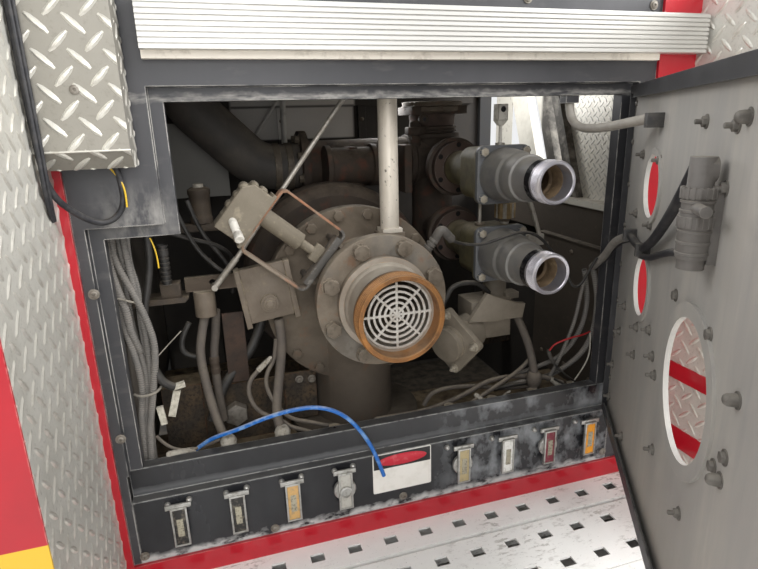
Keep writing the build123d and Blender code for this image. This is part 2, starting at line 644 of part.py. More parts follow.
def hinge_leaf(x, first):
    """One leaf of the piano hinge. x is its (pin side, outer) edges, first its lowest knuckle."""
    z0, pitch = HINGE_Z[0], (HINGE_Z[1] - HINGE_Z[0]) / KNUCKLES
    leaf = block(x, (-3, 0), HINGE_Z)
    for i in range(first, KNUCKLES, 2):
        z = (z0 + pitch * i + 0.4, z0 + pitch * (i + 1) - 0.4)
        leaf += rod_z(*PIN, z, 5) + block((x[0], PIN[0]), (-3, 0), z)
    return leaf


# Trailer-style connector: a stack of rings, a domed elbow on top and a side spigot, on a base block
def door_connector():
    x, y = PIN[0] - CONNECTOR_S, 25.0
    stack = [(726, 738, 14), (738, 772, 16.5), (772, 784, 18), (784, 804, 16), (804, 814, 18), (814, 846, 13)]
    body = [rod_z(x, y, (low, high), r) for low, high, r in stack]
    base = block((x - 10, x + 10), (SHEET, 12), (732, 812))
    spigot = rod_x(y + 4, 794, (x - 44, x), 6)
    elbow = rod_y(x, 833, (12, y), 13)
    return Part() + body + base + spigot + elbow


# Clamps that hold the cables to the door, and the bracket at the stay's end
def door_brackets():
    clamps = [block((PIN[0] - s - 5, PIN[0] - s + 5), (SHEET, 25), (z - 7, z + 14)) for s, z in CLAMPS]
    x = PIN[0] - STAY_S
    bracket = block((x - 12, x + 10), (SHEET, 27), (STAY_Z - 11, STAY_Z + 11))
    return Part() + clamps + bracket - door_cables()


def door_cables():
    return Part() + [tube(route, r) for r, route in DOOR_CABLES]


nodes["base_frame"] = base_frame()
nodes["upright_frame"] = upright_frame()
nodes["panel_surround"] = panel_surround() + stay_clip()
nodes["drain_panel"] = drain_panel()
nodes["red_frame"] = red_frame()
nodes["left_return_wall"] = return_wall(-1)
nodes["right_return_wall"] = return_wall(1)
nodes["left_corner_skin"] = corner_skin(-1)
nodes["right_corner_skin"] = corner_skin(1)
nodes["corner_box"] = corner_box()
nodes["rub_rail"] = rub_rail()
nodes["rub_rail_lip"] = rail_lip()
nodes["inner_plank"] = plank(-6.0, [37.0])
nodes["outer_plank"] = plank(-90.0, [38.0, 114.0])
nodes["edge_plank"] = plank(-244.0, [33.0])
nodes["drain_handles"] = drain_handles()
nodes["drain_valves"] = drain_valves()
nodes["label_plate"] = label_plate()
nodes["intake_flange"] = intake_flange()
nodes["intake_collar"] = intake_collar()
nodes["intake_thread_ring"] = intake_thread_ring()
nodes["strainer"] = strainer()
nodes["suction_body"] = suction_body()
nodes["pump_volute"] = pump_volute()
nodes["pump_gearbox"] = pump_gearbox()
nodes["pump_crossmembers"] = crossmembers()
nodes["support_pole"] = support_pole()
nodes["discharge_manifold"] = discharge_manifold()
nodes["tank_line"] = tank_line()
for side, z in zip(("upper", "lower"), OUT_Z):
    nodes[f"valve_body_{side}"] = valve_body(z)
    nodes[f"outlet_adapter_{side}"] = outlet_adapter(z)
    nodes[f"outlet_ring_{side}"] = outlet_ring(z)
nodes["actuator"] = actuator()
nodes["actuator_bracket"] = actuator_bracket()
nodes["square_valve"] = square_valve()
nodes["relief_valve"] = relief_valve()
nodes["control_rods"] = control_rods()
nodes["rear_bulkhead"] = rear_bulkhead()
nodes["left_partition"] = left_partition()
nodes["side_partition"] = side_partition()
nodes["window_posts"] = window_posts()
nodes["tread_bulkhead"] = tread_bulkhead()
nodes["drain_hoses"] = drain_hoses()
nodes["wire_looms"] = wire_looms()
nodes["sensor_line"] = sensor_line()
nodes["box_cable"] = tube(BOX_CABLE, 4.5)
nodes["blue_tube"] = tube(BLUE_TUBE, BLUE_R)
nodes["door_stay"] = tube(STAY, 8.0)
nodes["door_harness"] = tube(HARNESS, 7.0)
nodes["hinge_leaf_fixed"] = hinge_leaf((455.0, 480.0), 0)
nodes["door_skin"] = swung(door_skin())
nodes["door_edge"] = swung(door_edge())
nodes["door_hole_rims"] = swung(door_hole_rims())
nodes["hinge_leaf_door"] = swung(hinge_leaf((443.0, 408.0), 1))
nodes["door_connector"] = swung(door_connector())
nodes["door_brackets"] = swung(door_brackets())
nodes["door_cables"] = swung(door_cables())

print("blue tube bend radii", [round(r) for r in bend_radii(BLUE_TUBE)])

for name, solid in nodes.items():
    export_step(solid, f"parts/{name}.step")
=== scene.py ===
"""Looks of a fire engine's pump compartment, in metres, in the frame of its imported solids.

X runs along the vehicle, Y into it and Z up. Y = 0 is the outer face of the pump panel.
"""
import bmesh
import bpy
import json
import math
from mathutils import Matrix, Vector

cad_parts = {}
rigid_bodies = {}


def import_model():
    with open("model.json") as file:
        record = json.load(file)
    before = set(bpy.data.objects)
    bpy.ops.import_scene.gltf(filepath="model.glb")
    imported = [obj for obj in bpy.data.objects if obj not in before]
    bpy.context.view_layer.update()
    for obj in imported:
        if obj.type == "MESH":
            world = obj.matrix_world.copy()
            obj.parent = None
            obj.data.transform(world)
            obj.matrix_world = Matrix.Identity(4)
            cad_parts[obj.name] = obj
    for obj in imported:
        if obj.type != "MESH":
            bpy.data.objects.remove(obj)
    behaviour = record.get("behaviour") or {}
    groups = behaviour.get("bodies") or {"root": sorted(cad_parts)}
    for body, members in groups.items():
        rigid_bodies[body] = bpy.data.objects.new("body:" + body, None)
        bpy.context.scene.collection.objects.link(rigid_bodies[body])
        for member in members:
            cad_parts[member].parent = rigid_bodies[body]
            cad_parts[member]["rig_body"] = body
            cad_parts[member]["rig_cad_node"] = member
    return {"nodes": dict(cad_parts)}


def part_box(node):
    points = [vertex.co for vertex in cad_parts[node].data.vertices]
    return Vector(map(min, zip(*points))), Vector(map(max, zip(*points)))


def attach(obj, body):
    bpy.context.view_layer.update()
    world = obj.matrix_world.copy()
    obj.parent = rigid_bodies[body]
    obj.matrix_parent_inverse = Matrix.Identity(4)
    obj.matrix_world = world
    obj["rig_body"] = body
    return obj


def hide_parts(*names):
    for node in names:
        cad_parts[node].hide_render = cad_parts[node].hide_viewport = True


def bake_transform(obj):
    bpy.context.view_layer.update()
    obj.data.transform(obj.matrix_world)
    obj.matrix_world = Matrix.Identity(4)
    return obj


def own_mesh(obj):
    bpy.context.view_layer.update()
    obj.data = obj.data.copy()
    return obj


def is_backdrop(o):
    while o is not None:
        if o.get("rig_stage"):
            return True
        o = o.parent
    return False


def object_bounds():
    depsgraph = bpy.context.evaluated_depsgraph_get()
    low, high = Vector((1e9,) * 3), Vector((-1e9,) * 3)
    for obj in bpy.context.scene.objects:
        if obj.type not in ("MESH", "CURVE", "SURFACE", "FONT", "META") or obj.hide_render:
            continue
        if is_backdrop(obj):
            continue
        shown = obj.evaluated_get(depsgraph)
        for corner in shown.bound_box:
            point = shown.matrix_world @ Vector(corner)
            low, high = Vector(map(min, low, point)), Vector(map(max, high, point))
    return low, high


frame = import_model()
cad_low, cad_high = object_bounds()
nodes = frame["nodes"]

# Camera and studio. The eye is under a metre from the panel, left of the middle, looking right and
# down into the bay. Soft lamps stand in for an overcast sky over a pale floor.
EYE = (-0.353, -0.92, 0.89)
HEADING, DIP, ROLL = (math.radians(a) for a in (16.604, 16.338, -1.668))

bpy.ops.object.camera_add()
camera = bpy.context.object
camera.matrix_world = (Matrix.Translation(EYE) @ Matrix.Rotation(-HEADING, 4, "Z")
                       @ Matrix.Rotation(math.pi / 2 - DIP, 4, "X") @ Matrix.Rotation(ROLL, 4, "Z"))
camera.data.sensor_width = 36.0
camera.data.lens = 26.33
camera.data.clip_start = 0.01
bpy.context.scene.camera = camera
bpy.context.scene.view_settings.view_transform = "Standard"

# Soft boxes: place, what it faces, width, watts
LAMPS = [
    ((-1.1, -2.6, 2.9), (0.0, 0.1, 0.5), 2.4, 47),           # sky over the eye
    ((2.5, -1.3, 2.3), (-0.5, -0.1, 0.5), 1.8, 152),         # bright sky from the right, over the door
    ((-2.6, 0.6, 2.6), (0.7, -0.4, 0.7), 1.6, 45),           # from the rear left
    ((-0.2, -2.2, 1.15), (0.0, 0.4, 0.62), 1.2, 17),         # low in front, into the bay
    ((0.18, 0.66, 0.99), (0.53, 0.22, 0.84), 0.22, 2.2),     # daylight on the inner wall
]
for place, target, size, watts in LAMPS:
    bpy.ops.object.light_add(type="AREA", location=place)
    soft_box = bpy.context.object
    soft_box.rotation_euler = (Vector(target) - Vector(place)).to_track_quat("-Z", "Y").to_euler()
    soft_box.data.size = size
    soft_box.data.energy = watts


def paint(code):
    """A colour from its web code, in the linear values that the shaders take."""
    parts = [int(code[i:i + 2], 16) / 255 for i in (0, 2, 4)]
    return tuple(c / 12.92 if c <= 0.04045 else ((c + 0.055) / 1.055) ** 2.4 for c in parts) + (1.0,)


def add(tree, kind, inputs=(), **settings):
    """One shader node, its settings, and its inputs as values or as other nodes' outputs."""
    made = tree.nodes.new("ShaderNode" + kind)
    for key, value in settings.items():
        setattr(made, key, value)
    for key, value in dict(inputs).items():
        if isinstance(value, bpy.types.NodeSocket):
            tree.links.new(value, made.inputs[key])
        else:
            made.inputs[key].default_value = value
    return made


world = bpy.data.worlds.new("sky")
world.use_nodes = True
bpy.context.scene.world = world
sky = world.node_tree
rays = add(sky, "LightPath")
seen = add(sky, "Math", {0: rays.outputs["Is Camera Ray"], 1: rays.outputs["Is Transmission Ray"]},
           operation="MAXIMUM")
level = add(sky, "MapRange", {"Value": seen.outputs[0], "To Min": 0.55, "To Max": 0.96})
sky.links.new(level.outputs["Result"], sky.nodes["Background"].inputs["Strength"])
sky.nodes["Background"].inputs["Color"].default_value = paint("f4f5f6")

bpy.ops.mesh.primitive_plane_add(size=14, location=(0, 0, cad_low.z))
floor = bpy.context.object
floor.name = "floor"
pale = bpy.data.materials.new("pale_floor")
pale.use_nodes = True
pale.node_tree.nodes["Principled BSDF"].inputs["Base Color"].default_value = paint("d9d7d3")
pale.node_tree.nodes["Principled BSDF"].inputs["Roughness"].default_value = 0.8
floor.data.materials.append(pale)
floor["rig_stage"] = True

# Finishes. Everything in the bay is weathered: a base colour under patches, dust that settles on what
# faces up, and worn edges. A finish is a base and a short table of such layers, from the bottom up.


def patches(scale, low=0.42, high=0.66, share=1.0, stretch=(1, 1, 1), detail=5.0):
    """Soft patches. scale is per metre, low and high are where the noise starts and ends to show."""
    def mask(tree, here):
        turned = add(tree, "Mapping", {"Vector": here, "Scale": stretch})
        noise = add(tree, "TexNoise", {"Vector": turned.outputs[0], "Scale": scale, "Detail": detail,
                                       "Roughness": 0.62})
        return add(tree, "MapRange", {"Value": noise.outputs["Fac"], "From Min": low, "From Max": high,
                                      "To Max": share}).outputs["Result"]
    return mask


def edges(width, share=1.0, low=0.42, high=0.62, scale=60):
    """Worn edges, broken up by patches. width is how far the wear reaches from an edge."""
    def mask(tree, here):
        rounded = add(tree, "Bevel", {"Radius": width}, samples=4)
        flat = add(tree, "NewGeometry")
        same = add(tree, "VectorMath", {0: rounded.outputs[0], 1: flat.outputs["Normal"]},
                   operation="DOT_PRODUCT")
        wear = add(tree, "MapRange", {"Value": same.outputs["Value"], "From Min": 0.995, "From Max": 0.86,
                                      "To Max": share})
        broken = patches(scale, low, high)(tree, here)
        return add(tree, "Math", {0: wear.outputs[0], 1: broken}, operation="MULTIPLY").outputs[0]
    return mask


def settled(share, low=0.25, high=0.95):
    """Dust on what faces up."""
    def mask(tree, here):
        turned = add(tree, "SeparateXYZ", {0: add(tree, "NewGeometry").outputs["Normal"]})
        up = add(tree, "MapRange", {"Value": turned.outputs["Z"], "From Min": low, "From Max": high,
                                    "To Max": share})
        broken = patches(35, 0.3, 0.62)(tree, here)
        return add(tree, "Math", {0: up.outputs[0], 1: broken}, operation="MULTIPLY").outputs[0]
    return mask


def band(axis, start, end, share=1.0, ragged=0.0):
    """A graded band along one axis: nothing at start, all of it at end. ragged breaks its edge up."""
    def mask(tree, here):
        along = add(tree, "SeparateXYZ", {0: here}).outputs[axis]
        if ragged:
            noise = add(tree, "TexNoise", {"Vector": here, "Scale": 45, "Detail": 5.0})
            shift = add(tree, "MapRange", {"Value": noise.outputs["Fac"], "To Min": -ragged,
                                           "To Max": ragged})
            along = add(tree, "Math", {0: along, 1: shift.outputs[0]}, operation="ADD").outputs[0]
        return add(tree, "MapRange", {"Value": along, "From Min": start, "From Max": end,
                                      "To Max": share}).outputs["Result"]
    return mask


def strip(axis, low, high, blur, share=1.0, ragged=0.0):
    """A band between two places along one axis, fading over blur at each side."""
    def mask(tree, here):
        rising = band(axis, low - blur, low + blur, share, ragged)(tree, here)
        falling = band(axis, high + blur, high - blur, 1.0, ragged)(tree, here)
        return add(tree, "Math", {0: rising, 1: falling}, operation="MULTIPLY").outputs[0]
    return mask


def finish(name, base, rough, metal=0.0, layers=(), grain=(0, 0, 0), soft=0.0, coat=0.0):
    """A material. layers are (mask, colour, roughness), grain is (scale, strength, depth) of its bump."""
    made = bpy.data.materials.new(name)
    made.use_nodes = True
    tree = made.node_tree
    shader = tree.nodes["Principled BSDF"]
    shader.inputs["Metallic"].default_value = metal
    shader.inputs["Coat Weight"].default_value = coat
    here = add(tree, "TexCoord").outputs["Object"]
    colour, roughness = paint(base), rough
    for mask, over, over_rough in layers:
        factor = mask(tree, here)
        mixed = add(tree, "Mix", {0: factor, 6: colour, 7: paint(over)}, data_type="RGBA")
        colour = mixed.outputs[2]
        mixed = add(tree, "Mix", {0: factor, 2: roughness, 3: over_rough})
        roughness = mixed.outputs[0]
    for socket, value in (("Base Color", colour), ("Roughness", roughness)):
        if layers:
            tree.links.new(value, shader.inputs[socket])
        else:
            shader.inputs[socket].default_value = value
    normal = add(tree, "Bevel", {"Radius": soft}, samples=4).outputs[0] if soft else None
    scale, strength, depth = grain
    if scale:
        noise = add(tree, "TexNoise", {"Vector": here, "Scale": scale, "Detail": 4.0, "Roughness": 0.6})
        bump = add(tree, "Bump", {"Height": noise.outputs["Fac"], "Strength": strength,
                                  "Distance": depth})
        if normal:
            tree.links.new(normal, bump.inputs["Normal"])
        normal = bump.outputs[0]
    if normal:
        tree.links.new(normal, shader.inputs["Normal"])
    return made


def dress(material, *names):
    """Gives CAD nodes their finish."""
    for name in names:
        slots = nodes[name].data.materials
        for i in range(len(slots)):
            slots[i] = material


# Blue air tube: 8 mm nylon from the first drain's riser, arching out of the doorway over the label
# plate, its loose end hanging down. It is flexible.
BLUE_ROUTE = [(-0.44, 0.062, 0.3), (-0.418, 0.058, 0.317), (-0.393, 0.048, 0.334), (-0.35, 0.032, 0.35),
              (-0.3, 0.015, 0.374), (-0.25, 0.002, 0.388), (-0.202, -0.01, 0.392), (-0.158, -0.02, 0.372),
              (-0.125, -0.026, 0.328), (-0.103, -0.028, 0.28), (-0.088, -0.027, 0.229)]
BLUE_R = 0.004


def only(obj):
    """Makes obj the one selected and active object."""
    bpy.ops.object.select_all(action="DESELECT")
    obj.select_set(True)
    bpy.context.view_layer.objects.active = obj


def line(route, name):
    """A smooth curve that the route's points control, with no thickness yet."""
    data = bpy.data.curves.new(name, "CURVE")
    data.dimensions = "3D"
    data.resolution_u = 8
    spline = data.splines.new("NURBS")
    spline.points.add(len(route) - 1)
    for point, place in zip(spline.points, route):
        point.co = (*place, 1.0)
    spline.order_u = 3
    spline.use_endpoint_u = True
    made = bpy.data.objects.new(name, data)
    bpy.context.scene.collection.objects.link(made)
    return made


def middle(curve):
    """The points that a curve with no thickness runs through."""
    mesh = bpy.data.meshes.new_from_object(curve)
    points = [v.co.copy() for v in mesh.vertices]
    bpy.data.meshes.remove(mesh)
    return points


def hose(name, route, radius, material, sides=5):
    """A round hose along a route, as a closed mesh. Returns it and the points along its middle."""
    made = line(route, name)
    points = middle(made)
    made.data.bevel_depth = radius
    made.data.bevel_resolution = sides
    made.data.use_fill_caps = True
    only(made)
    bpy.ops.object.convert(target="MESH")
    made = bpy.context.object
    made.data.materials.clear()
    made.data.materials.append(material)
    bpy.ops.object.shade_smooth_by_angle(angle=math.radians(50))
    return made, points


blue_nylon = finish("blue_nylon", "1763b4", 0.32, layers=[
    (patches(60, 0.5, 0.62, 0.5), "8fb3d6", 0.6), (settled(0.75, 0.5), "c9ced2", 0.7)])
blue_tube, blue_line = hose("blue_air_tube", BLUE_ROUTE, BLUE_R, blue_nylon)
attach(blue_tube, "module")
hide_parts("blue_tube")
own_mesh(blue_tube)


# Base and uprights: welded square steel tube in chassis black, scuffed where things are set down. The
# crossmembers that carry the pump are older steel, brown with dried mud, with a few large bolts.
chassis_black = finish("chassis_black", "2a2a2b", 0.6, layers=[
    (patches(14, 0.45, 0.7, 0.5), "3b3833", 0.75), (settled(0.6), "6f675b", 0.9),
    (edges(0.003, 0.7), "6b5a4c", 0.6)], grain=(300, 0.2, 0.0006), soft=0.002)
dress(chassis_black, "base_frame", "upright_frame")
muddy_steel = finish("muddy_steel", "3a332b", 0.85, layers=[
    (patches(22, 0.4, 0.66, 0.8), "5b4a36", 0.9), (patches(140, 0.48, 0.62, 0.7), "241f1a", 0.9),
    (settled(0.9), "8a795f", 0.95), (edges(0.003, 0.8), "7a4c30", 0.8)], grain=(160, 0.9, 0.003), soft=0.002)
dress(muddy_steel, "pump_crossmembers")
worn_bolt = finish("worn_bolt", "8b857c", 0.5, 0.4, layers=[
    (patches(70, 0.45, 0.66, 0.8), "5d5348", 0.7), (settled(0.6), "9b9080", 0.9)], soft=0.001)
OUT = Matrix.Rotation(math.pi / 2, 4, "X")      # local Z out of the panel
RISE = Matrix.Identity(4)


def pick(obj, test):
    """Enters edit mode with only the faces selected whose centre and normal pass the test."""
    only(obj)
    bpy.ops.object.mode_set(mode="EDIT")
    bpy.ops.mesh.select_mode(type="FACE")
    bpy.ops.mesh.select_all(action="DESELECT")
    mesh = bmesh.from_edit_mesh(obj.data)
    for face in mesh.faces:
        face.select_set(bool(test(face.calc_center_median(), face.normal)))
    mesh.select_flush_mode()
    bmesh.update_edit_mesh(obj.data)


def leave_edit():
    """Back to object mode."""
    bpy.ops.object.mode_set(mode="OBJECT")


def turned(profile, sides=24, place=RISE):
    """A solid turned about Z and put in its place. profile is (radius, height) from its foot up; one that
    ends where it began is a ring, and any other is closed by its end faces."""
    ring = profile[0] == profile[-1]
    radius, height = profile[0]
    bpy.ops.object.select_all(action="DESELECT")
    bpy.ops.mesh.primitive_circle_add(vertices=sides, radius=radius, location=(0, 0, height),
                                      fill_type="NOTHING" if ring else "NGON")
    made = bpy.context.object
    bpy.ops.object.transform_apply(location=True)
    bpy.ops.object.mode_set(mode="EDIT")
    bpy.ops.mesh.select_mode(type="VERT")
    bpy.ops.mesh.select_all(action="SELECT")
    for new_radius, new_height in profile[1:]:
        bpy.ops.mesh.extrude_region_move(TRANSFORM_OT_translate={"value": (0, 0, new_height - height)})
        grow = new_radius / radius
        bpy.ops.transform.resize(value=(grow, grow, 1))
        radius, height = new_radius, new_height
    bpy.ops.mesh.select_all(action="SELECT")
    if ring:
        bpy.ops.mesh.remove_doubles(threshold=1e-6)
    bpy.ops.mesh.normals_make_consistent(inside=False)
    leave_edit()
    made.matrix_world = place
    return made


def joined(pieces):
    """One mesh of several."""
    bpy.ops.object.select_all(action="DESELECT")
    for piece in pieces:
        piece.select_set(True)
    bpy.context.view_layer.objects.active = pieces[0]
    if len(pieces) > 1:
        bpy.ops.object.join()
    return bpy.context.object


def spread(first, places):
    """Copies of one piece, each at its own place, joined into one mesh."""
    copies = []
    for place in places:
        twin = first.copy()
        twin.data = first.data.copy()
        bpy.context.scene.collection.objects.link(twin)
        twin.matrix_world = place @ first.matrix_world
        copies.append(twin)
    bpy.data.objects.remove(first)
    return joined(copies)


def at(x, y, z, turn=RISE):
    """A place, and the turn that a piece has there."""
    return Matrix.Translation((x, y, z)) @ turn


def fit(piece, name, material, body="module", smooth=40, stands_for=()):
    """Settles a finished piece: its place goes into its mesh, and it gets its name, finish and body."""
    only(piece)
    bpy.ops.object.transform_apply(location=True, rotation=True, scale=True)
    if smooth:
        bpy.ops.object.shade_smooth_by_angle(angle=math.radians(smooth))
    piece.name = name
    piece.data.name = name
    if material:
        piece.data.materials.clear()
        piece.data.materials.append(material)
    if body:
        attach(piece, body)
    if stands_for:
        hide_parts(*stands_for)
    return piece


def bolt(across, tall, washer=0.0):
    """A hexagon head that stands on its origin and points along Z, chamfered, on a round washer."""
    bpy.ops.object.select_all(action="DESELECT")
    bpy.ops.mesh.primitive_cylinder_add(vertices=6, radius=across / math.sqrt(3), depth=tall,
                                        location=(0, 0, washer + tall / 2))
    head = bpy.context.object
    bpy.ops.object.transform_apply(location=True)
    pick(head, lambda spot, way: way.z > 0.9)
    bpy.ops.mesh.bevel(offset=across * 0.07, segments=2, affect="EDGES")
    leave_edit()
    if not washer:
        return head
    lip = washer * 0.35
    disc = turned([(across * 0.8, 0), (across * 0.8, washer - lip), (across * 0.75, washer)])
    return joined([disc, head])


large_bolt = spread(bolt(0.044, 0.02), [at(-0.349, 0.186, 0.306, OUT)])
small_bolts = spread(bolt(0.011, 0.006, 0.0015), [at(-0.211, 0.18, 0.361, OUT), at(-0.184, 0.18, 0.358, OUT)])
fit(joined([large_bolt, small_bolts]), "crossmember_bolts", worn_bolt)

# Painted frame and corner posts: the vehicle's red, chalked a little, with a yellow stripe low on the
# left post.
red_layers = [(patches(9, 0.42, 0.75, 0.5), "96101f", 0.4), (settled(0.35), "8f4a4a", 0.8),
              (edges(0.002, 0.7), "d9a9a0", 0.6)]
RED, RED_GRAIN, RED_COAT = "b50e22", (900, 0.05, 0.0002), 0.4
red_paint = finish("red_paint", RED, 0.3, layers=red_layers, grain=RED_GRAIN, coat=RED_COAT)
dress(red_paint, "red_frame", "right_corner_skin")
STRIPE_TOP = 0.447
striped_paint = finish("striped_paint", RED, 0.3, layers=red_layers + [
    (band("Z", STRIPE_TOP, STRIPE_TOP - 0.0005), "e3b62a", 0.35)], grain=RED_GRAIN, coat=RED_COAT)
dress(striped_paint, "left_corner_skin")

# Tread plate: bright aluminium with raised bars that lean each way in turn. It lines both return walls,
# the corner box and the inner wall behind the outlets, and a sheet's edge cuts through its bars.
TREAD_PITCH = 0.042
BAR_LONG, BAR_WIDE, BAR_TALL = 0.036, 0.009, 0.0016
PLATE_GRAIN = (350, 0.25, 0.0005)
tread_plate = finish("tread_plate", "cfcdc5", 0.42, 0.3, layers=[
    (patches(10, 0.4, 0.7, 0.6), "aeaba1", 0.5), (patches(150, 0.55, 0.75, 0.5), "87827a", 0.7)],
    grain=PLATE_GRAIN, soft=0.001)
tread_bar = finish("tread_bar", "d6d3ca", 0.3, 0.5, layers=[(patches(60, 0.5, 0.7, 0.6), "a8a296", 0.5)])
# The corner box has the same tread plate made darker, which is painted shade.
box_plate_painted_shade = finish("box_plate_painted_shade", "918d84", 0.45, 0.3, layers=[
    (patches(10, 0.4, 0.7, 0.6), "8c887e", 0.5), (patches(150, 0.55, 0.75, 0.5), "78736a", 0.7)],
    grain=PLATE_GRAIN, soft=0.001)
dress(tread_plate, "left_return_wall", "right_return_wall")
dress(box_plate_painted_shade, "corner_box")


def rank(piece, count, step):
    """Repeats a piece in a line."""
    only(piece)
    line_up = piece.modifiers.new("rank", "ARRAY")
    line_up.use_relative_offset = False
    line_up.use_constant_offset = True
    line_up.constant_offset_displace = step
    line_up.count = count
    bpy.ops.object.modifier_apply(modifier="rank")


def tread(name, width, height, place, fine=1.0):
    """Bars over a sheet that lies in local X and Y from its corner, facing local Z. fine scales them."""
    pitch = TREAD_PITCH * fine
    leaning = []
    for shift, lean in ((0.25, -45), (0.75, 45)):
        bpy.ops.object.select_all(action="DESELECT")
        bpy.ops.mesh.primitive_circle_add(vertices=10, radius=0.5, fill_type="NGON")
        raised = bpy.context.object
        bpy.ops.transform.resize(value=(BAR_LONG * fine, BAR_WIDE * fine, 1))
        bpy.ops.object.transform_apply(scale=True)
        pick(raised, lambda spot, way: True)
        bpy.ops.mesh.extrude_region_move(TRANSFORM_OT_translate={"value": (0, 0, BAR_TALL * fine)})
        bpy.ops.transform.resize(value=(0.72, 0.4, 1))
        leave_edit()
        raised.rotation_euler.z = math.radians(lean)
        raised.location = (pitch * (shift - 0.5), pitch * (shift - 0.5), 0)
        bpy.ops.object.transform_apply(location=True, rotation=True)
        rank(raised, math.ceil(width / pitch) + 1, (pitch, 0, 0))
        rank(raised, math.ceil(height / pitch) + 1, (0, pitch, 0))
        leaning.append(raised)
    bars = joined(leaning)
    bpy.ops.object.mode_set(mode="EDIT")
    for edge, way in (((0, 0, 0), (-1, 0, 0)), ((0, 0, 0), (0, -1, 0)),
                      ((width, height, 0), (1, 0, 0)), ((width, height, 0), (0, 1, 0))):
        bpy.ops.mesh.select_all(action="SELECT")
        bpy.ops.mesh.bisect(plane_co=edge, plane_no=way, clear_outer=True, use_fill=True)
    bpy.ops.mesh.select_all(action="SELECT")
    bpy.ops.mesh.normals_make_consistent(inside=False)
    leave_edit()
    bars.matrix_world = place
    return fit(bars, name, tread_bar, smooth=25)


def sheet_place(corner, along, up=(0, 0, 1)):
    """Where a sheet lies: its corner, and the directions of its local X and Y."""
    along, up = Vector(along).normalized(), Vector(up).normalized()
    turn = Matrix((along, up, along.cross(up))).transposed().to_4x4()
    return Matrix.Translation(corner) @ turn


low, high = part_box("left_return_wall")
tread("left_wall_bars", high.y - low.y, high.z - low.z, sheet_place((high.x, low.y, low.z), (0, 1, 0)))
low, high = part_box("right_return_wall")
tread("right_wall_bars", high.y - low.y, high.z - low.z, sheet_place((low.x, high.y, low.z), (0, -1, 0)))

# Inner wall behind the outlets: the same plate in a finer pattern, its rear edge raked. It stands in
# the light of the other side, and its plate is paler than on the other walls, which is painted light.
tread_painted_light = finish("tread_painted_light", "e9e5da", 0.4, 0.2, layers=[
    (patches(10, 0.4, 0.7, 0.6), "dad3c0", 0.5)])
dress(tread_painted_light, "tread_bulkhead")
low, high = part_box("tread_bulkhead")
RAKE = 0.4
inner_bars = tread("inner_wall_bars", high.y - low.y, high.z - low.z,
                   sheet_place((low.x, high.y, low.z), (0, -1, 0)), 0.5)
only(inner_bars)
bpy.ops.object.mode_set(mode="EDIT")
bpy.ops.mesh.select_all(action="SELECT")
bpy.ops.mesh.bisect(plane_co=high, plane_no=(0, 1, -RAKE), clear_outer=True, use_fill=True)
leave_edit()

# Corner box: tread plate folded over the cables above the panel's corner, with a chamfer along its foot.
# A countersunk screw holds it.
BOX_CHAMFER = 0.025
low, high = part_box("corner_box")
wide, foot = high.x - low.x, low.z + BOX_CHAMFER
tread("corner_box_front_bars", wide, high.z - foot, sheet_place((low.x, low.y, foot), (1, 0, 0)))
tread("corner_box_foot_bars", wide, BOX_CHAMFER * math.sqrt(2),
      sheet_place((low.x, low.y + BOX_CHAMFER, low.z), (1, 0, 0), (0, -1, 1)))
tread("corner_box_side_bars", high.y - low.y - BOX_CHAMFER, high.z - low.z,
      sheet_place((high.x, low.y + BOX_CHAMFER, low.z), (0, 1, 0)))
TO_RIGHT = Matrix.Rotation(math.pi / 2, 4, "Y")     # local Z to the right
box_fold = turned([(0.0016, -0.001), (0.0016, wide + 0.001)], 10, at(low.x, low.y, foot, TO_RIGHT))
fit(box_fold, "corner_box_fold", tread_bar)
screw = turned([(0.0062, 0), (0.0062, 0.0012), (0.0048, 0.002), (0.0022, 0.002), (0.0018, 0.0009)], 20)
fit(spread(screw, [at(-0.506, low.y, 0.941, OUT)]), "corner_box_screw", worn_bolt)

# Black panel round the doorway: folded steel under satin black, rubbed to a chalky grey along the
# opening and streaked with dust, held by button-head bolts along its left side.
def within(one, other):
    """A layer that shows only where another one does too."""
    def mask(tree, here):
        return add(tree, "Math", {0: one(tree, here), 1: other(tree, here)}, operation="MULTIPLY").outputs[0]
    return mask


chalk_corner = within(strip("X", -0.5, -0.415, 0.03), strip("Z", 0.722, 0.79, 0.03))
chalk_line = within(strip("Z", 0.93, 0.937, 0.004, 1.0, 0.01),
                    patches(70, 0.36, 0.6, 1.0, (0.3, 1, 1.6), 8.0))
panel_black = finish("panel_black", "38383b", 0.42, layers=[
    (patches(7, 0.4, 0.7, 0.6, (1, 1, 0.4)), "49484b", 0.5),
    (patches(28, 0.56, 0.78, 0.45, (0.4, 1, 1.4)), "6f6c68", 0.7),
    (chalk_line, "a8a5a0", 0.8),
    (within(chalk_corner, patches(24, 0.4, 0.62, 0.75, (1.6, 1, 0.7), 8.0)), "a9a6a1", 0.75),
    (settled(0.7), "857f74", 0.9), (edges(0.003, 1.0, 0.4, 0.56, 16), "d2cec6", 0.5)],
    grain=(420, 0.25, 0.0004), soft=0.002)
dress(panel_black, "panel_surround")
button = turned([(0.0085, 0), (0.0085, 0.0015), (0.0062, 0.0015), (0.0056, 0.0035), (0.0035, 0.0046),
                 (0.0022, 0.0046), (0.002, 0.0022)], 20)
button_places = [(-0.542, 0.645), (-0.541, 0.389), (-0.536, 0.147), (-0.302, 0.144), (-0.04, 0.152),
                 (0.444, 0.15), (0.462, 1.081), (-0.2, 1.09), (0.2, 1.085)]
fit(spread(button, [at(x, 0, z, OUT) for x, z in button_places]), "panel_bolts", worn_bolt)

